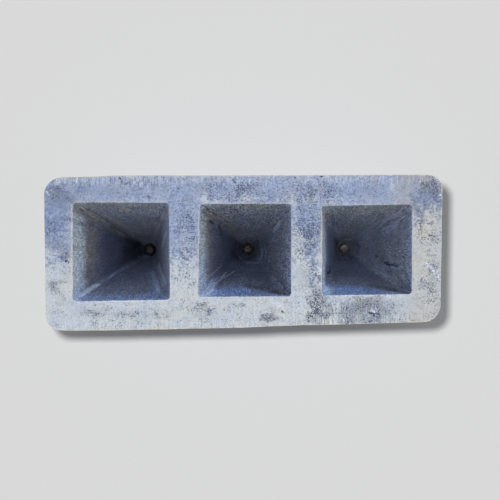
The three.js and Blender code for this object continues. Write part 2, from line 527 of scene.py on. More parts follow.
def resample(curve, count):
    """count points along a polyline, spaced as side_places spaces them, its last point left out."""
    steps = np.linalg.norm(np.diff(curve, axis=0), axis=1)
    run = np.concatenate([[0], np.cumsum(steps)])
    places = (side_places() + 1) / 2 * run[-1]
    return np.stack([np.interp(places, run, curve[:, axis]) for axis in (0, 1)], axis=1)


def front_edge(x):
    """Y of the front edge, which leans back towards the right end."""
    return -HALF_WIDTH + np.interp(x, *np.transpose(FRONT_GAPS))


def back_edge(x):
    """Y of the back edge, which falls off towards the left end."""
    return HALF_WIDTH - np.interp(x, *np.transpose(BACK_GAPS))


def cavity_centre(name):
    low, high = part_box(f"{name}_eye_pin")
    middle = (low + high) / 2 / MM
    return middle.x, middle.y


CAVITY_CENTRES = {name: cavity_centre(name) for name in CAVITIES}


def outline_pieces(inset, webs):
    """The block's outline, moved in by inset and cut at its corners' middles and at the webs."""
    left, right = -HALF_LENGTH + inset, HALF_LENGTH - inset
    corners = [
        (left + END_LEAN, front_edge(left) + inset),
        (right - END_LEAN, front_edge(right) + inset),
        (right, back_edge(right) - inset),
        (left, back_edge(left) - inset),
    ]
    arcs = [corner_arc(corners, index, radius) for index, radius in enumerate(CORNER_RADII)]
    front = [x for x in np.linspace(left, right, LONG_SIDE_POINTS) if arcs[0][-1][0] < x < arcs[1][0][0]]
    back = [x for x in np.linspace(right, left, LONG_SIDE_POINTS) if arcs[3][0][0] < x < arcs[2][-1][0]]
    runs = ([(x, front_edge(x) + inset) for x in front], [], [(x, back_edge(x) - inset) for x in back], [])
    middle = ARC_POINTS // 2
    front_side, right_side, back_side, left_side = [
        np.array([*arcs[i][middle:], *run, *arcs[(i + 1) % 4][: middle + 1]]) for i, run in enumerate(runs)
    ]
    return *cut_at(front_side, webs), right_side, *cut_at(back_side, webs[::-1]), left_side


def corner_arc(corners, index, radius):
    """Points of the arc that rounds one corner of an anticlockwise outline."""
    point = np.array(corners[index])
    before = np.array(corners[index - 1]) - point
    after = np.array(corners[(index + 1) % 4]) - point
    before, after = before / np.linalg.norm(before), after / np.linalg.norm(after)
    half = math.acos(before @ after) / 2
    bisector = (before + after) / np.linalg.norm(before + after)
    centre = point + bisector * radius / math.sin(half)
    start = point + before * radius / math.tan(half) - centre
    turn = math.pi - 2 * half
    angles = np.linspace(0, turn, ARC_POINTS)
    c, s = np.cos(angles), np.sin(angles)
    return centre + np.stack([start[0] * c - start[1] * s, start[0] * s + start[1] * c], axis=1)


def cut_at(curve, webs):
    """A run along X, cut in three at the webs' X values."""
    rising = curve[-1][0] > curve[0][0]
    pieces = []
    rest = curve
    for web in webs:
        before = rest[:, 0] < web if rising else rest[:, 0] > web
        i = int(before.sum())
        a, b = rest[i - 1], rest[i]
        meeting = a + (b - a) * (web - a[0]) / (b[0] - a[0])
        pieces.append(np.concatenate([rest[:i], [meeting]]))
        rest = np.concatenate([[meeting], rest[i:]])
    return (*pieces, rest)


def cell_borders(inset, webs):
    """The ring round each cavity's share of the block, and the whole block's outline."""
    pieces = outline_pieces(inset, webs)
    sides = [resample(piece, SIDE_STEPS) for piece in pieces]
    front_l, front_m, front_r, right, back_r, back_m, back_l, left = sides

    def web_line(start, end):
        return resample(np.array([start, end]), SIDE_STEPS)

    low_1, low_2 = pieces[1][0], pieces[2][0]
    high_1, high_2 = pieces[5][-1], pieces[5][0]
    rings = {
        "left": (front_l, web_line(low_1, high_1), back_l, left),
        "middle": (front_m, web_line(low_2, high_2), back_m, web_line(high_1, low_1)),
        "right": (front_r, right, back_r, web_line(high_2, low_2)),
        "block": sides,
    }
    return {name: np.concatenate(runs) for name, runs in rings.items()}


# The casting's mesh


class Skin:
    """Grids of points that are joined into one closed mesh, with what each point needs for its wear.

    A point's marks are its zone, its cavity, its place round the unit square, and how far it lies
    from the first ring of its grid."""

    def __init__(self):
        self.points = []
        self.faces = []
        self.marks = {"zone": [], "cavity": [], "turn": [], "run": []}
        self.count = 0

    def add(self, rings, zone, cavity=-1, flip=False):
        """Quads between rings of the same length, each ring closed on itself."""
        rows, columns = len(rings), len(rings[0])
        stack = np.stack(rings)
        steps = np.linalg.norm(np.diff(stack, axis=0), axis=2)
        run = np.concatenate([np.zeros((1, columns)), np.cumsum(steps, axis=0)])
        self.points.append(stack.reshape(-1, 3))
        self.marks["zone"].append(np.full(rows * columns, zone))
        self.marks["cavity"].append(np.full(rows * columns, cavity))
        self.marks["turn"].append(np.tile(np.arange(columns) % len(SQUARE), rows))
        self.marks["run"].append(run.reshape(-1))
        index = self.count + np.arange(rows * columns).reshape(rows, columns)
        following = np.roll(index, -1, axis=1)
        quads = [index[:-1], following[:-1], following[1:], index[1:]]
        if flip:
            quads = quads[::-1]
        self.faces.append(np.stack(quads, axis=2).reshape(-1, 4))
        self.count += rows * columns

    def welded(self):
        """Points, faces and marks, with shared points made one, so that the skin closes."""
        points = np.concatenate(self.points)
        keys = np.round(points / WELD_GRAIN).astype(np.int64)
        _, first, where = np.unique(keys, axis=0, return_index=True, return_inverse=True)
        faces = where.reshape(-1)[np.concatenate(self.faces)]
        marks = {name: np.concatenate(values)[first] for name, values in self.marks.items()}
        return points[first], faces, marks


def at_height(ring, height):
    return np.column_stack([ring, np.full(len(ring), height)])


def crowded(count, start_share, end_share):
    """Numbers from 0 to 1 that lie closer together at the ends that have a small share."""
    t = np.linspace(0, 1, count + 1)
    density = 1 / np.interp(t, [0, 0.5, 1], [1 / start_share, 1, 1 / end_share])
    steps = (density[1:] + density[:-1]) / 2
    run = np.concatenate([[0], np.cumsum(steps)])
    return run / run[-1]


def webs_between(sizes):
    mouths = mouth_widths(sizes)
    webs = []
    for a, b in itertools.pairwise(CAVITIES):
        right_rim = CAVITY_CENTRES[a][0] + mouths[a] / 2
        left_rim = CAVITY_CENTRES[b][0] - mouths[b] / 2
        webs.append((right_rim + left_rim) / 2)
    return webs


def mouth_widths(sizes):
    return {name: getattr(sizes, f"{name}_mouth") / MM for name in CAVITIES}


# How far each mouth's corners lie from a true square: front left, front right, back right, back left
MOUTH_CORNER_SHIFTS = {
    "left": ((0.0, -0.55), (0.15, 0.1), (-0.1, -0.05), (0.05, 0.05)),
    "middle": ((-0.25, -0.1), (0.0, 0.1), (0.0, 0.05), (0.3, 0.05)),
    "right": ((0.15, -0.35), (0.0, 0.2), (0.0, 0.1), (-0.1, -0.35)),
}


def mouth_shift(name):
    """The shift of each ring point at the mouth, blended from the corners'."""
    u, v = SQUARE[:, 0], SQUARE[:, 1]
    shares = [(1 - u) * (1 - v), (1 + u) * (1 - v), (1 + u) * (1 + v), (1 - u) * (1 + v)]
    return sum(
        share[:, None] / 4 * np.array(shift) for share, shift in zip(shares, MOUTH_CORNER_SHIFTS[name])
    )


def cavity_rings(name, sizes, place):
    """Rings from the top face down to the neck's countersink."""
    mouth = mouth_widths(sizes)[name]
    radius = sizes.mouth_corner / MM
    rim = sizes.rim_break / MM
    neck = NECK_DIAMETER / 2
    tip = neck + TIP_LAND
    shift = mouth_shift(name)
    rings = []
    for down in crowded(WALL_STEPS, *WALL_CROWDING):
        height = TOP - rim - down * (TOP - rim - NECK_TOP)
        share = (height - NECK_TOP) / (TOP - NECK_TOP)
        ring = rounded_square(tip + (mouth / 2 - tip) * share, neck + (radius - neck) * share)
        sink = min(neck + (height - NECK_TOP) * math.tan(SINK_ANGLE / 2), SINK_DIAMETER / 2)
        reach = np.linalg.norm(ring, axis=1, keepdims=True)
        ring = ring * np.maximum(reach, sink) / reach
        rings.append(at_height(ring + shift * share + place, height))
    return rings


def neck_rings(place):
    """Rings down the neck, across its seat, and through the guide hole to the underside."""
    neck = NECK_DIAMETER / 2
    seat = neck - (NECK_TOP - FLOOR_THICKNESS) * math.tan(NECK_DRAFT)
    profile = [
        (neck, NECK_TOP),
        (neck * 0.7 + seat * 0.3, NECK_TOP * 0.7 + FLOOR_THICKNESS * 0.3),
        (seat, FLOOR_THICKNESS),
        (GUIDE_DIAMETER / 2, FLOOR_THICKNESS),
        (GUIDE_DIAMETER / 2, PUNCH_SINK_DEPTH),
        (PUNCH_SINK_DIAMETER / 2, 0),
    ]
    return [at_height(circle(radius) + place, height) for radius, height in profile]


ZONES = {"face": 0, "wall": 1, "neck": 2, "side": 3, "base": 4}


def casting_skin(sizes):
    webs = webs_between(sizes)
    edge = sizes.top_edge / MM
    rim = sizes.rim_break / MM
    base_inset = TOP * math.tan(SIDE_DRAFT) + BASE_EDGE_RADIUS
    borders = cell_borders(edge, webs)
    base_borders = cell_borders(base_inset, webs)
    mouths = mouth_widths(sizes)
    skin = Skin()
    for cavity, name in enumerate(CAVITIES):
        place = np.array(CAVITY_CENTRES[name])
        rim_ring = rounded_square(mouths[name] / 2 + rim, sizes.mouth_corner / MM + rim)
        rim_ring = rim_ring + mouth_shift(name) + place
        spread = crowded(FACE_STEPS, *FACE_CROWDING)
        face = [at_height(rim_ring + (borders[name] - rim_ring) * t, TOP) for t in spread]
        skin.add(face, ZONES["face"], cavity, flip=True)
        walls = cavity_rings(name, sizes, place)
        skin.add([face[0], *walls], ZONES["wall"], cavity)
        neck = neck_rings(place)
        skin.add([walls[-1], *neck[1:]], ZONES["neck"], cavity)
        hole = neck[-1][:, :2]
        spread = np.linspace(0, 1, BASE_STEPS + 1)
        base = [at_height(hole + (base_borders[name] - hole) * t, 0) for t in spread]
        skin.add(base, ZONES["base"], cavity)
    skin.add(side_rings(edge, base_inset, webs), ZONES["side"], flip=True)
    return skin


def side_rings(edge, base_inset, webs):
    """Rings down the outside, from the top face's border to the base's."""

    def ring(height, inset):
        return at_height(cell_borders(inset, webs)["block"], height)

    def drafted(height, extra=0):
        return ring(height, (TOP - height) * math.tan(SIDE_DRAFT) + extra)

    turns = [math.pi / 2 * step / EDGE_STEPS for step in range(EDGE_STEPS + 1)]
    rings = [ring(TOP, edge)]
    for turn in turns[1:]:
        rings.append(drafted(TOP - edge * (1 - math.cos(turn)), edge * (1 - math.sin(turn))))
    for t in np.linspace(0, 1, OUTER_STEPS + 1)[1:-1]:
        rings.append(drafted(TOP - edge - t * (TOP - edge - BASE_EDGE_RADIUS)))
    for turn in turns[:-1]:
        height = BASE_EDGE_RADIUS * (1 - math.sin(turn))
        rings.append(drafted(height, BASE_EDGE_RADIUS * (1 - math.cos(turn))))
    return [*rings, ring(0, base_inset)]


def mesh_object(name, points, faces):
    """A smooth piece, from points in millimetres."""
    mesh = bpy.data.meshes.new(name)
    mesh.from_pydata((points * MM).tolist(), [], faces.tolist())
    mesh.validate()
    mesh.polygons.foreach_set("use_smooth", np.ones(len(mesh.polygons), bool))
    piece = bpy.data.objects.new(name, mesh)
    bpy.context.scene.collection.objects.link(piece)
    return piece


# For each kind of attribute, what Blender calls its values
VALUE_NAMES = {"FLOAT": "value", "FLOAT_VECTOR": "vector", "FLOAT_COLOR": "color"}


def store(mesh, name, values, kind="FLOAT"):
    """A value of each point, for the material to read."""
    attribute = mesh.attributes.new(name, kind, "POINT")
    attribute.data.foreach_set(VALUE_NAMES[kind], np.asarray(values, np.float32).reshape(-1))


def build_casting(context):
    sizes = context.scene.casting_sizes
    colours = context.scene.casting_colours
    points, faces, marks = casting_skin(sizes).welded()
    piece = mesh_object("cast_block", points, faces)
    mesh = piece.data
    paint_casting(mesh, points, marks, colours)
    wear_casting(mesh, points, marks, sizes)
    mesh.set_sharp_from_angle(angle=CASTING_SHARPNESS)
    mesh.materials.append(aluminium(colours))
    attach(piece, "block")
    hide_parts("mould_block")


# Where the casting is worn, and where painted highlights lie on its walls, in millimetres. A patch on the
# top face is its X, Y, reach along X, reach along Y and strength, and its turn in degrees if it has one. A
# stroke is its reach, its strength and a run of points, of which those on the top face have no height.
# Broad strokes colour the walls' mesh. Scratches are drawn by the material: the pale and dark ones are
# nearly all on the top face.

SMUDGES = (
    (-61.1, 19.9, 4, 3, 0.5),
    (-56.8, 17.9, 2.6, 1.6, 0.4),
    (-62.4, 15.9, 1.6, 2, 0.35),
    (-62, -10.2, 3, 2.2, 0.65),
    (-50.3, -18.8, 2.6, 1.2, 0.75),
    (-45.3, -18.4, 3, 1, 0.3),
    (-37, -19.7, 3, 1.3, 0.45),
    (-61.2, -19.1, 1.3, 1.6, 0.25),
    (-28.7, -20.1, 1.2, 0.7, 0.7),
    (-22.8, -18.7, 5.3, 1, 0.28, 30),
    (-56.9, -17.1, 1.3, 0.7, 0.4, 45),
    (23.9, 19.8, 11.2, 3.3, 0.1),
    (21.7, 9.3, 3.9, 8.5, 0.1),
    (-12.9, -18.1, 4.3, 1, 0.4),
    (-4.9, -18.7, 2, 1, 0.35),
    (-1, -17, 2.3, 1, 0.4),
    (8.8, -21.3, 2.7, 2.1, 0.8),
    (6.3, -22.2, 2.6, 1.4, 0.35),
    (6.9, 19.5, 0.7, 1.6, 0.55),
    (13.2, -19.2, 0.7, 0.7, 0.8),
    (25, -16.7, 3, 6.2, 0.75),
    (39.8, -19, 11.5, 4.8, 0.75),
    (33.8, -17.3, 5.9, 2, 0.3),
    (42.7, -20.6, 1.6, 1, 0.6),
    (47.9, -21.2, 4.6, 2, 0.3, 35),
    (61.8, 20.3, 3.3, 3.9, 0.55),
    (57.6, 22, 2.6, 2.6, 0.25),
    (61.9, -7.8, 1.6, 4.6, 0.25),
    (19.7, 24.7, 1.6, 0.7, 0.2),
    (-58.2, -0.8, 2.8, 2.3, 0.5),
    (-58.5, -6.5, 3.6, 4, 0.32),
    (-60, 17.5, 4.5, 3, 0.35),
    (-47.5, 20.3, 9, 3.6, 0.3),
    (42, 21, 6, 3.2, 0.32),
    (42, -21.5, 3.5, 3, 0.7),
    (-58.5, 0.5, 3, 4, 0.3),
    (-50, -19.2, 6, 2.4, 0.28),
    (-42, -19.6, 5, 2, 0.3),
    (-32, -20.5, 5.5, 2.8, 0.32),
    (-10.5, -20.2, 6, 3, 0.36),
    (19.5, -7.5, 2.5, 4, 0.3),
)
SPECKS = (
    (-61.1, 19.9, 3.6, 3.3, 0.5),
    (-62.8, 7.3, 2, 3, 0.7),
    (-60.8, -0.3, 2.3, 2.3, 0.5),
    (-62.8, -4.2, 1.6, 2, 0.6),
    (-62.9, -10.8, 2.6, 2, 0.5),
    (-61.2, -19.1, 2, 2, 0.55),
    (-50.3, -18.8, 3, 1.3, 0.8),
    (-44.3, -18.8, 3.9, 1.3, 0.5),
    (-37, -19.7, 3, 1.6, 0.7),
    (-43, -23.1, 9.9, 1.6, 0.35),
    (-57.5, 15.9, 3.3, 4.6, 0.35),
    (-19.1, 15.9, 4.3, 3.9, 0.55),
    (-19.1, 9.3, 4.9, 3, 0.8),
    (-19.4, 1.4, 4.9, 4.6, 0.6),
    (-18.5, -8.2, 4.3, 3, 0.55),
    (-19.8, -15.8, 2, 2, 0.5),
    (-27.1, -20.1, 2.6, 1.3, 0.6),
    (-21.1, 19.2, 3.3, 2.6, 0.35),
    (-3.3, 20.5, 10.2, 3.4, 1.05),
    (2.6, 24, 13.1, 1.3, 0.35),
    (-12.9, -18.1, 4.9, 1.3, 0.75),
    (-4.9, -18.7, 2.6, 1.3, 0.7),
    (-1.3, -17, 2.6, 1.3, 0.7),
    (-9.2, -22, 7.9, 1.6, 0.55),
    (23.9, 19.8, 11.2, 4.3, 0.75),
    (21.7, 8.9, 4.3, 8.5, 1.2),
    (19.1, 2.4, 2.6, 4.6, 0.95),
    (23.6, -7.1, 2.6, 4.9, 0.7),
    (24.3, -16.7, 3, 5.6, 1.3),
    (7.2, 18.8, 2, 2.6, 0.7),
    (11.2, 18.5, 1.6, 1.6, 0.4),
    (8.6, -21.4, 3.3, 2.4, 0.8),
    (38.4, -19.3, 12.5, 4.9, 0.5),
    (40.6, 22, 7.2, 2.6, 0.4),
    (61.8, 20.7, 3.6, 4.6, 0.8),
    (58.3, 7, 1, 5.3, 0.75),
    (62.2, 4.3, 2.3, 5.9, 0.4),
    (61.6, -8.1, 2.6, 5.3, 0.8),
    (61.3, -13, 3.3, 3, 0.8),
    (61.6, -20.2, 2.6, 2.3, 0.4),
    (51.8, -21.9, 3.9, 1.6, 0.4),
    (-33.6, 21.5, 8.5, 2.6, 0.25),
    (-50.1, 21.5, 5.3, 2, 0.3),
)
DEEP_BLUE = (
    (-61.9, 12, 5.5, 11, 0.5),
    (-60.5, 19.5, 5, 4, 0.6),
    (-55.5, 19.5, 7, 3.6, 0.35),
    (-38, 20.6, 19, 3.2, 0.3),
    (-19, 13.5, 5, 3.5, 0.2),
    (-20, -1.5, 6, 4.5, 0.3),
    (-19.5, 8, 5, 3, 0.2),
    (22, 11.5, 5.2, 9.5, 0.35),
    (36, 20, 12, 3, 0.25),
    (23.6, -5.5, 2.4, 9.5, 0.45),
    (-58.6, -0.8, 2.6, 2.4, 0.45),
    (60.6, 17, 5.4, 5, 0.6),
    (57.2, 12.5, 3, 4.4, 0.45),
    (58.6, 8.8, 1.6, 3.6, 0.25),
)
RUBBED = (
    (-10.5, 17.4, 4, 1.5, 0.65),
    (2, 17.4, 7, 1.4, 0.45),
    (20, 17.4, 10, 1.4, 0.5),
    (32, 17.4, 6, 1.3, 0.4),
    (17.8, -17, 3.9, 5.6, 0.8),
    (52.5, -18.3, 2.6, 4.6, 0.6),
    (56.7, -1.6, 1.6, 13.1, 0.7),
    (50.1, 20.7, 0.7, 4.6, 0.5),
    (61.5, 8.3, 3, 3.3, 0.6),
    (18.6, 1, 3.2, 5.4, 0.8),
    (17.6, 6, 1.6, 6, 0.7),
    (-62.6, 0.5, 1.6, 3, 0.35),
    (-21.8, -11.5, 4.6, 3.9, 0.4),
    (-13.8, -14.4, 3.3, 2, 0.4),
    (-37, -16.4, 8.5, 0.8, 0.7),
    (2.6, -15.1, 13.1, 1.3, 0.5),
    (-60.2, -14.2, 2.6, 3.9, 0.4),
    (-60.3, -22.8, 3.9, 1.6, 0.4),
    (-58.5, 6, 1.3, 2, 0.5),
    (61.4, 24.3, 2.6, 0.8, 0.8),
    (2.6, 15.8, 14.8, 0.7, 0.35),
    (-40.2, 17.4, 14.8, 0.7, 0.3),
    (28.9, 16.5, 13.1, 0.5, 0.3),
    (9.9, -15.4, 6.6, 2, 0.4),
    (-0.7, -22, 4.6, 1.3, 0.25),
    (-20.5, -22, 5.3, 2, 0.35),
    (-60.7, 24.2, 3.3, 1, 0.5),
)
PALE_STROKES = (
    (0.8, 0.45, (-41.5, 14.9, 51.9), (-40.1, 14.1, 49.2)),
    (1.5, 0.4, (-54.4, -15, 55.3), (-49.6, -13.8, 50.8)),
    (0.7, 0.2, (-52.8, -12.3, 47.8), (-45.7, -5.6, 24.8)),
    (0.9, 0.4, (-33.3, -6.2, 27.8), (-29.2, -13.1, 50.1)),
    (0.7, 0.45, (-27.5, -3.3, 45.8), (-26.4, -12.7, 50.4)),
    (0.8, 0.4, (-29.1, 7.4, 40.1), (-28.3, 0.9, 43)),
    (2.4, 1, (-35, -8, 31.9), (-28.7, -13.6, 51.8)),
    (1, 0.45, (-48.9, -10.2, 38.6), (-47.9, -10.5, 39.6)),
    (1, 0.4, (-39, -4.2, 18.7), (-38.3, -4.6, 20.1)),
    (1, 0.3, (-41, 5.5, 19.1), (-39.1, 5.8, 20.1)),
    (0.7, 0.3, (-36.5, -4.2, 19.6), (-29.8, -11.2, 43.4)),
    (2, 0.25, (-49.5, 14.1, 49), (-45.2, 14.1, 49.1)),
    (2.4, 0.3, (-5.5, 14.8, 53), (-2.2, 14.3, 50.9)),
    (0.9, 0.45, (3.9, 14.3, 51.2), (5.3, 14.3, 51.1)),
    (1.1, 0.35, (6.7, 12, 42.6), (11.4, 14, 50.1)),
    (1.8, 0.9, (-13.7, -13.2, 56), (-10.6, -10.7, 45.8)),
    (1.6, 0.6, (2.9, -4.1, 20.1), (6.8, -0.1, 22.9)),
    (1.6, 0.6, (6.4, 2.2, 21.4), (6.8, -1.7, 22.9)),
    (0.5, 0.4, (9, -0.7, 31.4), (9.4, -3.7, 32.8)),
    (0.8, 0.3, (11.7, -7, 41.4), (13, -9.6, 46.5)),
    (1.2, 0.3, (14.1, 13.3, 50.9), (15.3, 10.4, 55.1)),
    (0.9, 0.35, (44.7, 5.4, 19.5), (48.8, 10.4, 36.9)),
    (1, 0.5, (51, -4.5, 40.4), (53.7, -5.8, 50.8)),
    (1.6, 0.7, (26.8, -12.2, 56.1), (29.6, -10.9, 47.3)),
    (1.4, 0.35, (35.8, 12.5, 45.4), (37.4, 12.2, 44.1)),
    (0.8, 0.3, (41.1, -2.7, 14.9), (41.9, -2.7, 15.1)),
    (1, 0.25, (42.6, 6.2, 20.3), (45.4, 7.7, 26)),
    (1.2, 0.25, (47.2, 0.7, 25), (48.5, 0, 30.1)),
    (1.4, 0.25, (54, 9.4, 52), (54.8, 13.6, 55.2)),
    (1.2, 0.2, (53.3, 7.8, 49.3), (54.3, -3, 53.3)),
)
# Painted highlights: light patches in the front left corners and on some walls
PAINTED_HIGHLIGHT_STROKES = (
    (0.8, 1, (-55.2, -15, 56.3), (-51.6, -11.4, 44.4)),
    (0.8, 0.15, (-51.6, -11.4, 44.4), (-45.7, -5.6, 24.8)),
    (2.2, 0.3, (-55.3, -13.1, 55.7), (-53.9, -10.7, 50.8)),
    (1.9, 0.65, (-13.7, -13.2, 56), (-10.6, -10.7, 45.8)),
    (1.3, 0.65, (6.6, -2.4, 22.1), (7, 0.6, 23.6)),
    (1.1, 0.55, (1.2, -4.5, 21.4), (5.4, -4.3, 22.2)),
    (1.9, 0.4, (50.5, 7.6, 38.4), (52.7, 9.6, 47.2)),
    (1.7, 0.26, (48.8, -5.5, 32), (52.7, -10, 47.9)),
    (0.9, 0.25, (45.1, 2.4, 15.6), (45.5, -0.2, 18.7)),
    (1.8, 0.9, (26.8, -12.2, 56.1), (28.1, -11.6, 51.6)),
)
BROWN_STROKES = (
    (2.3, 0.75, (-55.1, 15.7, 56.1), (-47.4, 8, 30)),
    (2.4, 0.5, (-53.1, 13.1, 48.6), (-50, 9.7, 37.4)),
    (2, 0.7, (-12.6, 14.2, 53.4), (-3.2, 7.7, 26.2)),
    (1.4, 0.45, (-11.7, 11.3, 49.1), (-10.4, 4.5, 43.8)),
    (0.7, 0.55, (-29.2, 11.4, 41.6), (-31.6, 8.6, 32.8)),
    (1.3, 0.6, (28.4, 13.6, 51.5), (31, 8.8, 38.7)),
    (1.4, 0.3, (-47, 7.7, 28.7), (-43.9, 4.7, 18.7)),
    (1.2, 0.25, (53.1, 14.6, 53), (48.4, 12.2, 43.9)),
)
DARK_STROKES = (
    (0.7, 0.45, (-54.4, 14.6, 53.1), (-54.3, 14.4, 52.5)),
    (0.6, 0.6, (-49.1, 12, 41.7), (-48.7, 11.4, 39.5)),
    (0.6, 0.5, (-54.8, 9.8, 54.1), (-54.3, 9.9, 52.4)),
    (0.7, 0.8, (-11.4, 10.7, 47.9), (-10.6, 10.5, 45)),
    (0.8, 0.6, (-9, 9.6, 39), (-8.4, 6.4, 36.5)),
    (1, 0.7, (4.9, 4.3, 17.9), (5.3, 3.8, 18.2)),
    (0.5, 0.7, (49.3, -1.4, 33.3), (49.4, -1.6, 33.7)),
    (1.6, 0.8, (49.6, -12.3, 53.2), (54.9, -13, 57.6)),
    (2.6, 0.45, (45.1, -11.3, 49.5), (54.4, -12.4, 55.2)),
    (1.6, 0.75, (10, -13, 53.9), (15.5, -13.5, 56.9)),
    (2.4, 0.4, (2.5, -11.6, 47.9), (14.1, -13.1, 54.2)),
    (1, 0.35, (-49.1, 9.4, 35), (-45.7, 6.2, 24.1)),
    (2.2, 0.6, (-46, 4.6, 23), (-43.5, 2.2, 14.7)),
    (2.6, 0.5, (-46.4, 0.7, 24.4), (-43.6, -0.2, 14.5)),
    (1.8, 0.5, (-5, -0.1, 23.2), (-2.8, -2.6, 17.9)),
    (1, 0.5, (35.8, 4.6, 20.8), (39.4, -0.4, 4.7)),
    (0.8, 0.4, (-8.1, 7.5, 35.4), (-7.5, 4.5, 32.9)),
)
PALE_SCRATCHES = (
    (0.3, 0.2, (-60.6, 7.3), (-60.3, 4.4)),
    (0.3, 1, (-58, -2.8), (-57.7, -3)),
    (0.4, 0.6, (-64.6, 20.2), (-63.6, 19.2)),
    (0.35, 0.4, (-62.9, 20.7), (-62.2, 20.1)),
    (0.4, 0.35, (-45.9, -15.5), (-41, -15.8)),
    (0.45, 0.35, (-37.7, -15.5), (-30.4, -15.9)),
    (0.4, 0.4, (39.9, -13.6), (40.9, -14.1)),
    (0.4, 0.3, (42.3, -13.9), (43.5, -14.6)),
    (0.5, 0.6, (46.9, -13.5), (48.5, -14.3)),
    (0.55, 1, (42.5, -19), (43.3, -19.1)),
    (0.5, 0.8, (60.6, -3.5), (64.5, -8.6)),
    (0.4, 0.6, (61.2, -3.5), (64.3, -7.3)),
    (0.35, 0.5, (59.6, -2.9), (61.6, -5.2)),
    (0.45, 1, (64.3, 19), (64.5, 19)),
    (0.4, 0.6, (24.7, -4.3), (25.1, -5.2), (25.6, -5.6)),
    (0.4, 0.25, (24.3, -8.8), (25.3, -9.8)),
    (0.3, 0.9, (17.9, 24.8), (18.1, 24.4)),
    (0.4, 0.25, (16.6, 14.5), (17.2, 12.2), (18.1, 8.9)),
    (0.3, 0.3, (-22.2, 22.8), (-22.1, 21.5)),
    (0.9, 0.3, (9.5, -15.6), (12.2, -17.2), (14.6, -21.8)),
    (0.7, 0.9, (40, 13.2, 48.1), (41, 13.3, 48.5), (41.4, 13.7, 50.1)),
)
WALL_SCRATCHES = (
    (0.6, 1, (-55.5, -14.8, 56.6), (-53.9, -13, 51), (-52.1, -11.3, 45.1)),
    (0.5, 0.15, (-52.1, -11.3, 45.1), (-49.2, -8.5, 35.5), (-45.7, -5.7, 25)),
    (0.45, 0.8, (-46.4, -8.5, 33.2), (-44.7, -8.2, 32.2)),
    (1, 0.5, (-42.7, 12.2, 42.4), (-41.6, 12.1, 42.1)),
    (0.9, 1, (-30, 2.3, 36.6), (-28.7, 4.5, 41.4), (-26.3, 6.9, 49.9)),
    (0.8, 0.9, (-33.4, -4.6, 25.3), (-30.1, -8.1, 36.7), (-26.6, -11, 48.4)),
    (1, 0.6, (-34.7, -7.7, 30.8), (-31.7, -10.7, 41.6), (-29, -13.2, 50.4)),
    (0.52, 0.9, (-29.6, -12.6, 48.2), (-28.9, -12.9, 49.3)),
    (0.5, 0.9, (-14.1, -13.7, 57.6), (-12.3, -12, 51.2)),
    (0.45, 0.6, (-13.6, -10.2, 55), (-11, -7.8, 45.6), (-8.3, -5, 35.4)),
    (0.5, 1, (-12.6, -13.4, 54.9), (-9.7, -10.7, 44.8), (-3.7, -7.1, 31.2)),
    (0.5, 0.8, (-11.4, -13.3, 54.4), (-6.8, -7.7, 33.9)),
    (0.6, 0.7, (-2.2, -2.2, 15.7), (0.5, -3.9, 19.3), (3, -4.2, 20.4), (5.8, -3, 20.6), (6.9, 1.1, 23.3)),
    (0.6, 0.9, (7.7, 2.3, 26.2), (8.2, 0, 28.2), (8, -2.6, 27.2)),
    (0.7, 0.9, (9.4, -1.7, 32.8), (9.3, -3.5, 32.4)),
    (0.52, 0.3, (-1.3, 5.1, 16.9), (0.8, 4.5, 14.3)),
    (0.5, 0.6, (-3.3, -8.4, 35.9), (-1.4, -8.3, 35.4)),
    (1.3, 1, (10.9, 7.7, 38.3), (12, 9.4, 42.7), (12.8, 10.3, 45.7)),
    (0.5, 0.85, (42.3, 4.9, 15.1), (44.9, 5.9, 20.9), (46.4, 8.5, 29.3), (48.8, 10.6, 37.5)),
    (0.6, 0.7, (47.8, 9.6, 33.5), (50.4, 12, 43.1), (53.4, 14.1, 51.9)),
    (0.5, 0.7, (52.1, -5.2, 44.8), (53.2, -5.3, 49), (54, -4.5, 52.2)),
)
TAN_SCRATCHES = (
    (0.7, 0.8, (-41.9, 14.2, 49.3), (-40.8, 15.1, 52.5), (-39.3, 15.1, 52.6), (-39.9, 14, 48.8)),
    (0.42, 0.9, (-48.4, 13.4, 46.5), (-45.9, 11.3, 39.2), (-43.2, 8.9, 30.7)),
    (0.36, 0.7, (-49.2, 13.5, 46.9), (-47, 11.3, 39.1), (-44.4, 9.1, 31.5)),
    (0.3, 0.4, (-56.3, 15.6), (-56.2, 7.7), (-56.3, -2.9), (-56.5, -12.8)),
    (0.45, 0.5, (-34.5, 7.2, 25.8), (-30.7, 10.8, 38.2), (-27.1, 14.2, 50)),
    (0.7, 0.9, (43.8, 1.4, 11.7), (43.7, 0.2, 11.7)),
    (0.42, 0.9, (-8.1, 13.3, 47.4), (-5.2, 11.8, 41.6), (-1.7, 9.5, 32.9)),
    (0.36, 0.7, (-9.4, 12.8, 45.5), (-6.6, 10.7, 37.4), (-3.3, 8.6, 29.6)),
    (0.59, 0.4, (-12, 7.6, 50), (-11.6, 3.4, 48.5)),
    (0.7, 0.6, (40.1, 14.4, 52.9), (41.3, 14.2, 52.1)),
    (0.25, 0.5, (25.6, 12.5), (25.7, -2.9)),
    (0.3, 0.5, (-14.4, 4.4), (-14.3, -12.8)),
    (0.4, 0.5, (-55.2, 15.5, 56), (-53.4, 13.9, 50.2), (-51.6, 11.7, 43.4)),
    (0.65, 0.5, (29.2, 12.8, 48.4), (30.1, 11.3, 43.7)),
)
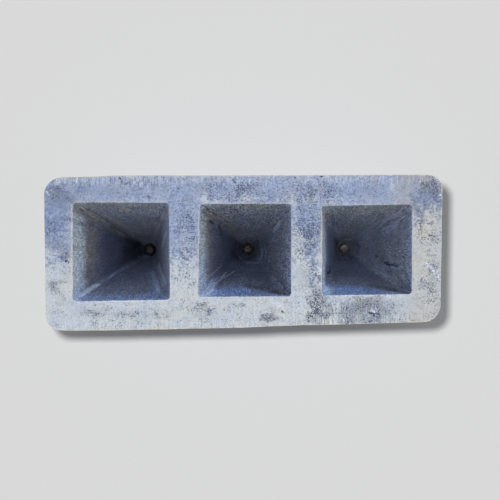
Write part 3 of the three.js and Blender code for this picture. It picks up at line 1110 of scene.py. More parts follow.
DARK_SCRATCHES = (
    (0.42, 0.7, (50.4, -3.3, 37.9), (51.2, -4.1, 41.2), (52.1, -4.4, 44.8), (53.2, -4.7, 49)),
    (0.33, 0.6, (50.9, -3.7, 39.8), (51.7, -3.5, 43.1)),
    (0.4, 0.3, (48.9, -2.4, 31.9), (49.6, -1.3, 34.6)),
    (0.4, 0.4, (53.9, -5.4, 51.7), (54.2, -6.2, 52.8)),
    (0.4, 0.3, (54.5, -6.4, 53.7), (54.8, -7.4, 55.1)),
    (0.65, 1, (31.3, -5.3, 38.2), (31.6, -6.4, 36.9), (30.9, -7.2, 39.9), (29.6, -7.2, 44.8)),
    (0.45, 0.4, (-54.7, 14.9, 54.1), (-54.2, 14.5, 52.5)),
    (0.6, 0.5, (-11.6, 11, 48.7), (-10.9, 10.5, 45.9)),
    (0.5, 0.35, (-8.9, 9.5, 38.6), (-8.6, 8.3, 37.4), (-8.7, 6.4, 37.5)),
    (0.35, 1, (17.3, 24.9), (17.6, 24.7)),
    (0.35, 0.8, (25.7, 25.1), (26.1, 25)),
    (0.35, 0.9, (13, -19), (13.5, -19.4)),
    (0.35, 0.9, (-40.2, 24.7), (-40, 24.6)),
    (0.5, 0.45, (-31, 18.9), (-30.5, 18.2)),
    (0.35, 0.9, (-58.3, -2.9), (-58.1, -2.5), (-57.7, -2.5), (-57.4, -3)),
    (0.45, 0.35, (60.5, 9.7), (62.3, 9.7)),
    (0.35, 0.35, (61.2, 5.8), (63.8, 5.7)),
    (0.3, 0.3, (61.5, 4.5), (64.1, 4.3)),
    (0.3, 0.3, (60.6, 0.9), (63.5, 0.7)),
    (0.35, 0.3, (60.6, -0.6), (63.5, -0.7)),
    (0.4, 0.25, (58.6, 13.5), (58.7, 9.6)),
    (0.45, 0.3, (58.5, 8.9), (58.6, 6.3)),
    (0.4, 0.8, (41.8, -19.5), (43.3, -20.4), (44.6, -21.2)),
    (0.3, 0.6, (42.3, -19.6), (45, -19.8)),
    (0.5, 0.7, (-2.9, 24.1), (-2.3, 23.4)),
)


def blend(base, other, share):
    """Rows of colours turning into another colour."""
    return base + (np.array(other[:]) - base) * np.clip(share, 0, 1)[:, None]


def patches(rows, x, y, rough):
    """The strongest of some patches at each point. Their outlines wander, and rough thins them."""
    flat = np.column_stack([x, y, np.zeros_like(x)])
    far = 2.6
    near = far / 2
    x = x + far * (grain(flat, "far_x") - 0.5) + near * (grain(flat, "near_x") - 0.5)
    y = y + far * (grain(flat, "far_y") - 0.5) + near * (grain(flat, "near_y") - 0.5)
    total = np.zeros_like(x)
    for centre_x, centre_y, reach_x, reach_y, strength, *turn in rows:
        inside = patch(x, y, (centre_x, centre_y), (reach_x, reach_y), *turn)
        total = np.maximum(total, strength * np.clip(inside * (0.35 + 1.3 * rough), 0, 1))
    return total


def strokes(rows, points):
    """The strongest of some strokes at each point."""
    total = np.zeros(len(points))
    for reach, strength, *run in rows:
        for start, end in itertools.pairwise(np.array(in_space(run))):
            way = end - start
            share = np.clip((points - start) @ way / (way @ way), 0, 1)
            distance = np.linalg.norm(points - start - share[:, None] * way, axis=1)
            low, high = (edge * reach for edge in BROAD_STROKE_EDGE)
            total = np.maximum(total, strength * (1 - smooth_rise(distance, low, high)))
    return total


# How far in from the block's box its corners' wear is measured
CORNER_REACH = 7
# The pattern of the walls' streaks: its half width round a cavity, its share of the depth, so that
# it is drawn out downwards, and how far apart the cavities are taken to be in it
STREAK_TURN = 15
STREAK_FALL = 0.12
STREAK_SPACING = 50


def past_outline(x, y):
    """How far places lie outside the block's outline, and below zero inside it."""
    return np.maximum.reduce([np.abs(x) - HALF_LENGTH, y - back_edge(x), front_edge(x) - y])


def paint_casting(mesh, points, marks, colours):
    """Stores the colours, with painted light and shade among them, and the kinds of wear at each point."""
    x, y, z = points.T
    down = TOP - z
    zone, cavity, side = marks["zone"], marks["cavity"], marks["turn"] // SIDE_STEPS
    on_face = zone == ZONES["face"]
    on_wall = zone == ZONES["wall"]
    on_side = zone == ZONES["side"]
    in_cavity = on_wall | (zone == ZONES["neck"])
    broad = grain(points, "broad")
    middling = grain(points, "middling")
    rough = 0.5 * broad + 0.5 * middling

    def on_each(face, elsewhere):
        return np.where(on_face, face, elsewhere)

    # Painted highlight: a bright fringe on the top face along each mouth's front edge
    fringe_highlight = FRINGE_HIGHLIGHTS[cavity] * np.exp(-((marks["run"] / FRINGE_REACH) ** 2))
    fringe_highlight *= on_face * (side == 0) * smooth_rise(grain(points, "fringe_highlight"), 0.2, 0.6)
    tanned = smooth_rise(past_outline(x, y), -0.5, -0.1) * smooth_rise(z, TOP - 2, TOP - 0.6)
    tint = filled(colours.side, points)
    bare_tint = filled(colours.pale, points)
    tint[on_face], bare_tint[on_face] = face_tints(x[on_face], y[on_face], rough[on_face], colours)
    inside = {key: values[in_cavity] for key, values in marks.items()}
    tint[in_cavity] = bare_tint[in_cavity] = wall_tint(points[in_cavity], inside, rough[in_cavity], colours)
    bare_tint = blend(blend(bare_tint, colours.scratch, fringe_highlight), colours.tan, tanned)
    for name, rows in (("tint", tint), ("bare_tint", bare_tint)):
        store(mesh, name, np.column_stack([rows, np.ones(len(rows))]), "FLOAT_COLOR")

    along_end = np.maximum(np.abs(x) - HALF_LENGTH + CORNER_REACH, 0)
    along_side = np.maximum(np.abs(y) - HALF_WIDTH + CORNER_REACH, 0)
    past_corner = np.hypot(along_end, along_side)
    worn = 0.62 * np.maximum(smooth_rise(z, TOP - 2.5, TOP), smooth_rise(-z, -3.2, -1.2))
    worn = np.maximum(worn, 0.45 * smooth_rise(past_corner, 6.3, 7.6)) + 0.5 * (broad - 0.5)
    bare = on_each(np.maximum(bareness_and_light(x, y, rough), fringe_highlight), np.where(on_side, worn, 0))
    stains = 0.25 * smooth_rise(grain(points, "stains"), 0.45, 0.8)
    wall_specks = 0.15 + 0.3 * smooth_rise(middling, 0.5, 0.9)
    sawn_back = smooth_rise(y, 20.5, 23) * (0.45 + 0.45 * smooth_rise(-x, 25, 32))
    sawn_front = 0.45 * smooth_rise(front_edge(x) - y, -4.5, -1.5)
    sawn = sawn_back + sawn_front + 1.1 * patch(x, y, (35.5, -20.5), (14, 6))
    near_corner = smooth_rise(np.abs(SQUARE[marks["turn"]]).min(axis=1), 0.55, 0.95)
    creases = (0.12 + 0.88 * near_corner) * smooth_rise(down, 0.5, 4) * smooth_rise(broad, 0.2, 0.7)
    coarse = COARSENESS[cavity, side] * (1.3 - 0.6 * smooth_rise(down, 8, 34)) * (0.6 + 0.8 * rough)
    burr = on_each(np.exp(-((marks["run"] / BURR_REACH) ** 2)), on_wall & (marks["run"] < BURR_DEPTH))
    for name, values in {
        "bare": np.maximum(bare, 0.7 * tanned),
        "film": on_each(patches(DEEP_BLUE, x, y, rough), 0),
        "smudge": on_each(patches(SMUDGES, x, y, rough), np.where(on_side, stains, 0)),
        "specks": on_each(patches(SPECKS, x, y, rough), np.where(in_cavity, wall_specks, 0)),
        "creases": np.where(in_cavity, creases, 0),
        "saw_marks": on_each(np.clip(sawn, 0.1, 1.3), 0),
        "in_cavity": in_cavity,
        "cast_skin": zone >= ZONES["side"],
        "coarse": np.where(in_cavity, coarse, 0),
        "glints": np.where(in_cavity, np.exp(-down / GLINT_DEPTH), 0),
        "burr": burr * BURRS[side],
    }.items():
        store(mesh, name, values)

    round_cavity = SQUARE[marks["turn"]] * STREAK_TURN
    fall = np.column_stack([round_cavity, down * STREAK_FALL + cavity * STREAK_SPACING])
    store(mesh, "fall", np.where(in_cavity[:, None], fall, 0), "FLOAT_VECTOR")


def filled(colour, points):
    """A row of one colour for each point."""
    return np.tile(np.array(colour[:]), (len(points), 1))


def face_tints(x, y, rough, colours):
    """The top face's colours where a dull film covers it, and where it is rubbed through and where painted
    sky light makes it paler.
    """
    scoured = smooth_rise(x, 49.6, 50.4) * smooth_rise(y, 8, 13)
    filmed = blend(filled(colours.blue, x), colours.grey, scoured)
    right = smooth_rise(x + 3 * (rough - 0.5), 51, 57)
    return filmed, blend(filled(colours.pale, x), colours.neutral, right)


def bareness_and_light(x, y, rough):
    """How far the film is gone from each point of the top face, with painted sky light that makes it paler
    towards the front.
    """
    # Painted reflection of the sky: the face paler towards the front
    forward = -y + 5 * (rough - 0.5)
    painted_light_front = smooth_rise(forward, -5.5, 8.5)
    right_end = smooth_rise(x, 51, 55) * smooth_rise(forward + 3 * smooth_rise(x, 56, 61), -18, -7)
    behind = 0.3 * smooth_rise(y, 21.5, 24.5) * smooth_rise(-x, -52, -44)
    return np.maximum.reduce([painted_light_front, right_end, behind, 0.9 * patches(RUBBED, x, y, rough)])


# How far the painted highlight of the bright fringe, and the burrs, reach from a mouth's edge, and how far
# down its wall
FRINGE_REACH = 0.08
BURR_REACH = 0.35
BURR_DEPTH = 0.4
# How far down the painted glints under the rims, and the coarser grain there, fade to about a third
GLINT_DEPTH = 6
# Tables of the walls. Each row is a cavity, from left to right, and has its front, right, back and left
# walls: how coarse their grain is, how much darker with painted shade, or brighter with painted light, they
# are at the bottom beside the top, how much paler grey of painted light they have, and how deep and how
# strong the rim's band of painted light is.
COARSENESS = np.array(((0.8, 0.8, 0.85, 0.55), (1, 1.35, 1.3, 0.85), (0.75, 0.8, 1.25, 0.8)))
BOTTOM_SHADE = np.array(((1.05, 0.75, 0.9, 0.38), (1, 0.95, 1.1, 0.6), (1.05, 1.65, 1.2, 0.95)))
GREYNESS = np.array(((0, 0.35, 0.85, 0), (0, 0.3, 0.85, 0), (0.15, 0.6, 1, 0.1)))
RIM_LIGHT_DEPTHS = np.array(((5.5, 4.5, 4.5, 6.5), (8.5, 4, 5.5, 6.5), (9, 5, 6.5, 8)))
RIM_LIGHT_STRENGTHS = np.array(((0.6, 0.6, 0.8, 0.95), (1, 0.5, 0.8, 1), (1, 0.45, 0.8, 0.95)))
# How bright the burrs on the front, right, back and left rims are
BURRS = np.array((0.2, 0.15, 0.75, 1))
# For each cavity: how strong the painted highlight of the bright fringe before its mouth is, how much bluer
# the painted light on its left rim is towards the front, how far forward that blue has risen, from -1 to 1,
# and how much painted light brightens its neck
FRINGE_HIGHLIGHTS = np.array((0.9, 0.2, 0.6))
LEFT_RIM_BLUENESS = np.array((0.1, 0.45, 0.9))
GLOW_PLACES = np.array((0.6, 0.5, 1.2))
NECK_PAINTED_LIGHT = np.array((2.2, 2.2, 1.5))


def wall_tint(points, marks, rough, colours):
    """Walls change brightness downwards with painted shade and light, under a band of painted light at the
    rim whose colour differs from side to side.
    """
    down = TOP - points[:, 2]
    cavity = marks["cavity"]
    x, y = SQUARE[marks["turn"]].T
    nearness = np.column_stack([-y, x, y, -x])
    share = smooth_rise(nearness + 0.14 * (rough[:, None] - 0.5), 0.70, 1.02)
    share /= share.sum(axis=1, keepdims=True)
    on_front, on_left = share[:, 0], share[:, 3]

    def blended(table):
        """A number of each wall, turning into the next wall's at the corners."""
        return (table[cavity] * share).sum(axis=1)

    def darkened(tint, brightness):
        return tint * brightness[:, None]

    # Painted light: a band under each rim, its colour by the way the wall faces, bluer on the left walls
    # towards the front and dimmer there towards the back
    forward = smooth_rise(-y, -0.8, GLOW_PLACES[cavity])
    rim_light_colours = (colours.rim_front, colours.rim_right, colours.rim_back, colours.rim_left)
    rim_light = share @ np.array([colour[:] for colour in rim_light_colours])
    rim_light = blend(rim_light, colours.rim_glow, on_left * LEFT_RIM_BLUENESS[cavity] * forward)
    rim_light = darkened(rim_light, 1 - on_left * (0.4 - 0.4 * forward**0.5))
    # The front walls' band of painted light narrows towards the right in the middle and right cavities
    narrowing = on_front * np.where(cavity > 0, 0.9 * smooth_rise(x, -0.3, 1), 0)
    width = blended(RIM_LIGHT_DEPTHS) * (1 - narrowing) * (0.75 + 0.5 * rough)
    rim_light_band = blended(RIM_LIGHT_STRENGTHS) * (1 - smooth_rise(down, 0.5 * width, 1.5 * width))

    uneven = down + 7 * (grain(points, "uneven") - 0.5)
    brown = on_left * (cavity < 2) * smooth_rise(uneven, 3, 7) * (1 - smooth_rise(uneven, 8, 17))
    # Painted light: walls, the back walls most, paler and greyer by the way they face
    tint = blend(filled(colours.wall, points), colours.wall_back, blended(GREYNESS))
    tint = blend(tint, colours.brown, brown * (0.3 + 0.9 * rough))
    tint = tint + (rim_light - tint) * rim_light_band[:, None]
    tint = blend(tint, colours.brown, strokes(BROWN_STROKES, points))
    # Painted shade and light: each wall darker or brighter at the bottom beside its top
    deep_shade = 1 + (blended(BOTTOM_SHADE) - 1) * smooth_rise(down, 14, 40)
    tint = darkened(tint, deep_shade * (0.8 + 0.4 * rough))
    for colour, rows in (
        (colours.rim_right, PALE_STROKES),
        (colours.rim_glow, PAINTED_HIGHLIGHT_STROKES),
        (colours.soot, DARK_STROKES),
    ):
        tint = blend(tint, colour, strokes(rows, points))
    # Painted shade: the front walls of the middle and right cavities darker towards their right ends near
    # the rim. The walls are also patchily darker just above the neck.
    dim = on_front * (cavity > 0) * smooth_rise(x, -0.6, 0.9) * (1 - smooth_rise(down, 12, 30))
    dim += 1.2 * smooth_rise(down, 36, 44) * (1 - smooth_rise(rough, 0.3, 0.8))
    # Painted light: each neck's walls made brighter where they lie deep in shade
    in_neck = marks["zone"] == ZONES["neck"]
    tint = darkened(darkened(tint, 1 - 0.3 * dim), np.where(in_neck, NECK_PAINTED_LIGHT[cavity], 1))
    return np.minimum(tint, 0.9)


def wear_casting(mesh, points, marks, sizes):
    """Sinks the skin into the metal, never out of it, as casting grain, dents and worn edges."""
    normals = np.empty(len(points) * 3, np.float32)
    mesh.vertex_normals.foreach_get("vector", normals)
    x, y, z = points.T
    down = TOP - z
    wander = sizes.edge_wander / MM
    waves = grain(points, "waves")
    lumps = grain(points, "lumps")
    pits = smooth_rise(grain(points, "pits"), 0.6, 0.85)
    on_face, on_wall, on_side = (marks["zone"] == ZONES[name] for name in ("face", "wall", "side"))

    dents = 0.10 * waves + 0.04 * lumps + 0.05 * pits * patches(SPECKS, x, y, lumps)
    above_sink = 1 - smooth_rise(down, 30, 42)
    wall_grain = (0.16 * waves + 0.08 * lumps + 0.06 * pits) * above_sink
    side_grain = sizes.grain / MM * smooth_rise(down, 0.5, 4) * (0.5 * waves + 0.9 * lumps + 0.8 * pits)
    depth = np.select([on_face, on_wall, on_side], [dents, wall_grain, side_grain], 0)
    on_rim = on_face & (marks["run"] < 0.05)
    depth += on_rim * wander * smooth_rise(grain(points, "mouth_edge"), 0.35, 0.9)
    on_edge = smooth_rise(past_outline(x, y), -1.6, -0.4) * smooth_rise(z, TOP - 1.6, TOP - 0.3)
    nicks = smooth_rise(grain(points, "nicks"), 0.72, 0.95)
    depth += on_edge * wander * (0.8 * smooth_rise(grain(points, "outer_edge"), 0.3, 1) + 1.2 * nicks)

    moved = points - normals.reshape(-1, 3) * depth[:, None]
    mesh.vertices.foreach_set("co", (moved * MM).astype(np.float32).reshape(-1))
    mesh.update()


def aluminium(colours):
    """Cast aluminium with specks, saw marks, rubbed burrs, painted glints, and dull, heat-stained cavity
    walls whose colours carry painted light and shade.
    """
    finish = Finish("cast aluminium")
    place = finish.place()
    names = ("in_cavity", "cast_skin", "specks", "burr", "glints", "saw_marks")
    cavity, skin, specks, burr, glints, sawn = (finish.attribute(name) for name in names)
    fall = finish.attribute("fall", "Vector")

    # Noises: their grains per millimetre, their detail and their roughness
    grit = finish.noise(place, 2.3, 2, 0.6) - 0.5
    fine = finish.noise(place, 1.1, 3, 0.6) - 0.5
    medium = finish.noise(place, 0.4, 3, 0.6) - 0.5
    warmth = finish.noise(place, 0.16, 5, 0.62)
    clumps = finish.noise(place, 0.42, 2, 0.5) - 0.5
    spots = finish.noise(place, 2.0, 3, 0.7) + clumps * 0.3
    fleck = finish.noise(place, 2.2, 2, 0.6)
    saw = finish.noise(finish.place((2.4, 0.2, 0.3)), 1, 2, 0.6) - 0.5
    dashes = finish.noise(finish.place((2.0, 0.4, 0.3)), 1, 2, 0.5)
    layers = finish.noise(finish.scaled_by(fall, (0.14, 0.14, 8)), 1, 3, 0.6) - 0.5
    streaks = finish.noise(finish.scaled_by(fall, (0.8, 0.8, 0.7)), 1, 4, 0.6, 0.4) - 0.5
    chatter = finish.noise(finish.scaled_by(fall, (2.1, 2.1, 6)), 1, 3, 0.7) - 0.5

    # The blue film, what is rubbed through it, painted sky light that pales the face towards the front,
    # smudges, and a cast of colour that comes and goes
    ragged = fine * 1.3 + medium
    bare = (finish.attribute("bare") + ragged * 0.9).rise(0, 1)
    tint, bare_tint = (finish.attribute(name, "Color") for name in ("tint", "bare_tint"))
    colour = finish.mix(bare, tint, bare_tint)
    film = (finish.attribute("film") - ragged).rise(0.1, 0.75)
    colour = finish.mix(film * 0.85, colour, colours.deep_blue[:])
    smudge = (finish.attribute("smudge") + ragged).rise(0.15, 0.75)
    colour = finish.mix(smudge * (spots * 1.2 + 0.15), colour, colours.smudge[:])
    cast = finish.mix(warmth.rise(0.36, 0.64), (0.965, 0.995, 1.04), (1.03, 1.005, 0.965))
    colour = finish.mix(1.0 - skin * 0.5, colour, cast, "MULTIPLY")

    # Lighter and darker grain: all over, then the walls' chatter, saw marks and layers, then creases
    coarse_grit = grit * (0.6 + cavity * 0.6 + glints) * (1 - skin * 0.75)
    shade = 1 + coarse_grit + fine * (0.42 + specks * 0.28 + glints * 0.6 - skin * 0.2)
    chips = chatter.rise(0.09, 0.17) - (0 - chatter).rise(0.09, 0.17) * 0.35
    shade = shade + (chatter * 2.2 + chips * 0.5) * finish.attribute("coarse")
    shade = shade + medium * 0.35 + saw * sawn * 1.5 + layers * cavity * 0.4
    shade = shade + (streaks * 1.6 + streaks.rise(0.08, 0.18) * 0.7) * finish.attribute("creases")
    shade = shade + (spots - 0.5) * cavity * 1.1
    colour = finish.scaled(colour, shade)

    # Dark specks, and bright flecks, dashes, painted glints and burrs
    speck = (spots + specks * 0.13).rise(0.61, 0.70) * (1 - cavity * 0.4) * (1 - skin * 0.5)
    colour = finish.mix(speck * 0.9, colour, colours.speck[:], "MULTIPLY")
    pale_fleck = (fleck + specks * 0.12).rise(0.62, 0.7) * specks * (1 - speck) * (0.25 + bare * 0.75)
    dash = dashes.rise(0.62, 0.70) * sawn * (1 - speck)
    glint = (fleck + glints * 0.16).rise(0.66, 0.74) * glints
    bright_burr = burr * (fleck + burr * 0.15).rise(0.5, 0.62)
    for share, bright in (
        (pale_fleck * 0.75, colours.fleck),
        ((dash * 0.65).least(0.85), colours.scratch),
        (glint * 0.8, colours.glint),
        (bright_burr * 0.8, colours.burr),
    ):
        colour = finish.mix(share, colour, bright[:])

    # Scratches, each kind as whole or as broken up as in its row
    broken = fine.rise(-0.12, 0.08) * (0.4 + fleck)
    wandering = finish.wandering(place, 0.9, 1.0)
    for rows, scratch, wholeness in (
        (PALE_SCRATCHES, colours.scratch, 0.2),
        (WALL_SCRATCHES, colours.wall_scratch, 0.3),
        (TAN_SCRATCHES, colours.tan, 0.35),
        (DARK_SCRATCHES, colours.crack, 0.6),
    ):
        marked = finish.strokes(wandering, rows) * (wholeness + broken)
        colour = finish.mix(marked.least(1), colour, scratch[:])

    height = grit * 0.03 + fine * 0.06 + medium * 0.06 - speck * 0.05
    height = height + saw * sawn * 0.05 + layers * cavity * 0.05
    return finish.surface(
        {"Specular IOR Level": 0.4},
        Base_Color=colour,
        Metallic=0.4 + skin * 0.45,
        Roughness=0.42 + cavity * 0.14 - skin * 0.07 + speck * 0.25 + medium * 0.2,
        Normal=finish.bump(height),
    )


# The pins

# How much painted light brightens or darkens each pin's tip beside plain steel, and the rest of the pin
# less
TIP_PAINTED_LIGHT = {"left": 0.72, "middle": 1.1, "right": 2.5}
# Which way along X and Y painted light brightens each tip, and how much duller it is elsewhere
LIT_TIP_SIDES = {"left": (0.75, -0.65, 0.97), "middle": (-0.2, 0.3, 0.4), "right": (0.5, 0.75, 0.45)}
# How much of each pin below its tip is bare steel
BARE_SHOULDERS = {"left": 0.12, "middle": 0.35, "right": 1.0}
# How far a shoulder stands off its seat, which stands in for touching it
SEAT_GAP = 0.3
# How far apart the three pins are taken to be in their noise, so that they differ
PIN_SPACING = 37


def build_pins(context):
    for index, name in enumerate(CAVITIES):
        build_pin(name, index, context)


def pin_profile(sizes, low, high):
    """Radius and height down a pin's outside, from its foot to its tip, and the tip's radius."""
    top, bottom = high.z / MM, low.z / MM
    shoulder = (high.x - low.x) / 2 / MM
    seat = FLOOR_THICKNESS + SEAT_GAP
    shoulder_top = seat + sizes.shoulder / MM
    chamfer = sizes.chamfer / MM
    nose = shoulder - sizes.nose_step / MM
    tip = nose - (top - shoulder_top) * math.tan(sizes.taper)
    tail = GUIDE_DIAMETER / 2 - sizes.tail_clearance / MM
    profile = [
        (0, bottom),
        (tail - chamfer, bottom),
        (tail, bottom + chamfer),
        (tail, seat),
        (shoulder - chamfer, seat),
        (shoulder, seat + chamfer),
        (shoulder, shoulder_top - chamfer),
        (shoulder - chamfer, shoulder_top),
        (nose, shoulder_top),
        (tip, top - 2 * chamfer),
        (tip * 0.86, top - 0.6 * chamfer),
        (0, top),
    ]
    return profile, tip


def build_pin(name, index, context):
    sizes = context.scene.pin_sizes
    node = f"{name}_eye_pin"
    low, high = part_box(node)
    profile, tip = pin_profile(sizes, low, high)
    turns = np.linspace(0, 2 * math.pi, PIN_SIDES, endpoint=False)
    ring = np.stack([np.cos(turns), np.sin(turns)], axis=1)
    skin = Skin()
    skin.add([at_height(ring * radius, height) for radius, height in finer(profile, PIN_STEP)], 0)
    points, faces, _ = skin.welded()

    own = points + (0, 0, PIN_SPACING * index)
    top = high.z / MM
    on_tip = smooth_rise(points[:, 2], top - 1.6, top - 0.5)
    pits = on_tip * (0.8 * grain(own, "tip_pits") + 0.9 * grain(own, "tip_dents"))
    side_x, side_y, contrast = LIT_TIP_SIDES[name]
    across = (points[:, 0] * side_x + points[:, 1] * side_y) / tip
    bare_and_lit_tip = on_tip * (0.45 + 0.55 * smooth_rise(grain(own, "tip_soot"), 0.25, 0.65))
    # Painted light: one side of each tip brighter than the rest
    bare_and_lit_tip *= 1 - contrast * (1 - smooth_rise(across, -0.7, 0.7))
    points[:, :2] -= points[:, :2] * 0.06 * pits[:, None]
    points[:, 2] -= pits * sizes.pitting / MM
    centre = (low + high) / 2 / MM

    piece = mesh_object(f"turned_{node}", points + (centre.x, centre.y, 0), faces)
    mesh = piece.data
    mesh.set_sharp_from_angle(angle=PIN_SHARPNESS)
    store(mesh, "tip", bare_and_lit_tip)
    mesh.materials.append(steel(context.scene.casting_colours, TIP_PAINTED_LIGHT[name], BARE_SHOULDERS[name]))
    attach(piece, f"{name}_pin")
    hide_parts(node)


def finer(profile, step):
    """A profile with points added, so that none lie further apart than step."""
    points = [profile[0]]
    for (r0, z0), (r1, z1) in itertools.pairwise(profile):
        count = max(1, math.ceil(math.hypot(r1 - r0, z1 - z0) / step))
        points += [(r0 + (r1 - r0) * i / count, z0 + (z1 - z0) * i / count) for i in range(1, count + 1)]
    return points


def steel(colours, tip_light, bare_shoulder):
    """Turned steel, sooty below and rough and dull at the tip, brightened or darkened by painted light,
    most at the tip.
    """
    finish = Finish("turned steel")
    place = finish.place()
    tip = finish.attribute("tip")
    grit = finish.noise(place, 1.0, 4, 0.7)
    turning = finish.noise(finish.place((0.2, 0.2, 6)), 1, 2, 0.5)
    bright = (tip * grit.rise(0.4, 0.58)).most(bare_shoulder * (1 - tip.rise(0, 0.1)))
    colour = finish.mix(bright, colours.scale[:], colours.steel[:])
    # Painted light: the whole pin brightened or darkened, its tip most
    colour = finish.scaled(colour, 1 + (0.45 + tip * 0.55) * (tip_light - 1))
    relief = finish.bump(grit * 0.08 + turning * 0.02)
    return finish.surface({"Metallic": 0.6}, Base_Color=colour, Roughness=0.5 + grit * 0.3, Normal=relief)


# The stage

# Above what place on the top face the camera stands, and at what place it looks, in millimetres
EYE = (5.263, 3.038)
AIM = (2.6, 1.066)
# The width of its sensor, in millimetres, and how near it sees, in metres
SENSOR_WIDTH = 36
CLIP_START = 0.005
# Place and width, in metres, of each lamp that lights the block
LAMPS = {
    "overhead": ((-0.03, 0.05, 0.62), 1.0),
    "low_back": ((0.1, 0.75, 0.4), 0.45),
    "low_right": ((0.75, 0.1, 0.4), 0.45),
    "low_front": ((-0.1, -0.75, 0.35), 0.45),
    "low_left": ((-0.75, -0.1, 0.35), 0.45),
}
# Half the floor's width, in metres, and how far below the block it lies, so that their faces don't meet
FLOOR_HALF = 1.5
FLOOR_DROP = 0.02 * MM


def lamp(name, place, power, size, aim=None, shape="SQUARE"):
    """A flat lamp. It faces straight down unless it has an aim."""
    data = bpy.data.lights.new(name, "AREA")
    data.energy = power
    data.size = size
    data.shape = shape
    item = bpy.data.objects.new(name, data)
    item.location = place
    if aim:
        item.rotation_euler = (Vector(aim) - Vector(place)).to_track_quat("-Z", "Y").to_euler()
    bpy.context.scene.collection.objects.link(item)
    return item


def light_only(lamps, piece, name, state):
    """Makes the lamps light this piece alone, or everything but it."""
    group = bpy.data.collections.new(name)
    group.objects.link(piece)
    group.collection_objects[0].light_linking.link_state = state
    for item in lamps:
        item.light_linking.receiver_collection = group


def add_camera(context, eye):
    view = (Vector((*AIM, TOP)) * MM - eye).normalized()
    camera = bpy.data.cameras.new("camera")
    camera.lens = context.scene.stage_settings.lens
    camera.sensor_width = SENSOR_WIDTH
    camera.clip_start = CLIP_START
    item = bpy.data.objects.new("camera", camera)
    item.location = eye
    item.rotation_euler = (math.asin(view.y), math.atan2(-view.x, -view.z), 0)
    context.scene.collection.objects.link(item)
    context.scene.camera = item


def add_floor(context, lamp_place):
    turns = [(-1, -1), (1, -1), (1, 1), (-1, 1)]
    corners = [(x * FLOOR_HALF, y * FLOOR_HALF, -FLOOR_DROP) for x, y in turns]
    mesh = bpy.data.meshes.new("floor")
    mesh.from_pydata(corners, [], [(0, 1, 2, 3)])
    mesh.materials.append(floor_paint(context.scene.stage_settings, lamp_place))
    floor = bpy.data.objects.new("floor", mesh)
    context.scene.collection.objects.link(floor)
    return floor


def build_stage(context):
    settings = context.scene.stage_settings
    eye = Vector((EYE[0] * MM, EYE[1] * MM, TOP * MM + settings.camera_height))
    add_camera(context, eye)
    floor_lamp_place = eye + Vector((-settings.shadow_shift, settings.shadow_shift, 0))
    floor = add_floor(context, floor_lamp_place)
    block = (0, 0, TOP * MM)
    lamps = [
        lamp(name, place, getattr(settings, name), size, aim=block)
        for name, (place, size) in LAMPS.items()
    ]
    light_only(lamps, floor, "all_but_floor", "EXCLUDE")
    size = settings.floor_lamp_size
    floor_lamp = lamp("floor_lamp", floor_lamp_place, settings.floor_lamp, size, shape="DISK")
    light_only([floor_lamp], floor, "floor_only", "INCLUDE")
    context.scene.world = studio_sky(settings)
    context.scene.view_settings.view_transform = "Standard"


def studio_sky(settings):
    """Weak light from all round, which the eye sees as pale as the floor."""
    finish = Finish("studio", world=True)
    strength = settings.sky + (settings.floor_colour[0] - settings.sky) * finish.seen_by_eye()
    sky = finish.node("ShaderNodeBackground", {}, {"Color": (1, 1, 1, 1), "Strength": strength})
    finish.node("ShaderNodeOutputWorld", {}, {"Surface": sky})
    return finish.owner


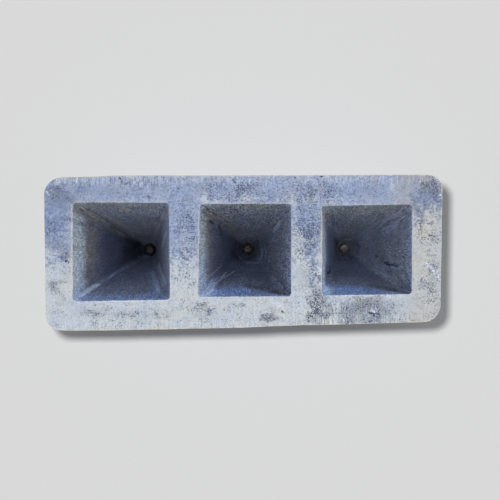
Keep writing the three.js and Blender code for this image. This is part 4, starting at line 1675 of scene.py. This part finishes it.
def floor_paint(settings, lamp_place):
    """Pale paint, made paler away from the lamp, and a glow where the lamp is too weak even for that."""
    finish = Finish("floor paint")
    height = lamp_place.z
    place = finish.node("ShaderNodeTexCoord", output="Object")
    away = finish.vector("DISTANCE", place, (lamp_place.x, lamp_place.y, 0), output="Value")
    falloff = (height**2 / (away * away + height**2)) ** 2
    light = settings.sky + settings.floor_lamp / (math.pi * height) ** 2 * falloff
    goal = settings.floor_colour[0]
    paint = (goal / light).least(settings.palest_floor)
    glow = (goal - paint * light).most(0) * finish.seen_by_eye()
    return finish.surface(
        {"Roughness": 1.0, "Specular IOR Level": 0.0, "Emission Strength": 1.0},
        Base_Color=finish.grey(paint),
        Emission_Color=finish.grey(glow),
    )


# Operators and the sidebar panel


class StageBuilder(bpy.types.Operator):
    """Set up the camera, the floor and the lamps"""

    bl_idname = "sinker_mould.stage"
    bl_label = "Build stage"

    def execute(self, context):
        build_stage(context)
        return {"FINISHED"}


class CastingBuilder(bpy.types.Operator):
    """Build the cast block with its three cavities"""

    bl_idname = "sinker_mould.casting"
    bl_label = "Build casting"

    def execute(self, context):
        build_casting(context)
        return {"FINISHED"}


class PinBuilder(bpy.types.Operator):
    """Build the three turned eye pins"""

    bl_idname = "sinker_mould.pins"
    bl_label = "Build pins"

    def execute(self, context):
        build_pins(context)
        return {"FINISHED"}


class MouldPanel(bpy.types.Panel):
    """Sizes, colours and builders of the sinker mould"""

    bl_idname = "VIEW3D_PT_sinker_mould"
    bl_label = "Sinker mould"
    bl_space_type = "VIEW_3D"
    bl_region_type = "UI"
    bl_category = "Sinker mould"

    def draw(self, context):
        for name in SETTINGS:
            group = getattr(context.scene, name)
            box = self.layout.box()
            for key in group.bl_rna.properties.keys():
                if key not in ("rna_type", "name"):
                    box.prop(group, key)
        for builder in BUILDERS:
            self.layout.operator(builder.bl_idname)


SETTINGS = {
    "casting_sizes": CastingSizes,
    "pin_sizes": PinSizes,
    "casting_colours": CastingColours,
    "stage_settings": StageSettings,
}
BUILDERS = (StageBuilder, CastingBuilder, PinBuilder)


def register():
    for kind in (*SETTINGS.values(), *BUILDERS, MouldPanel):
        bpy.utils.register_class(kind)
    for name, kind in SETTINGS.items():
        setattr(bpy.types.Scene, name, bpy.props.PointerProperty(type=kind))


def unregister():
    for name in SETTINGS:
        delattr(bpy.types.Scene, name)
    for kind in (MouldPanel, *BUILDERS, *reversed(SETTINGS.values())):
        bpy.utils.unregister_class(kind)


def main():
    register()
    bpy.ops.sinker_mould.stage()
    bpy.ops.sinker_mould.casting()
    bpy.ops.sinker_mould.pins()


if __name__ == "__main__":
    main()
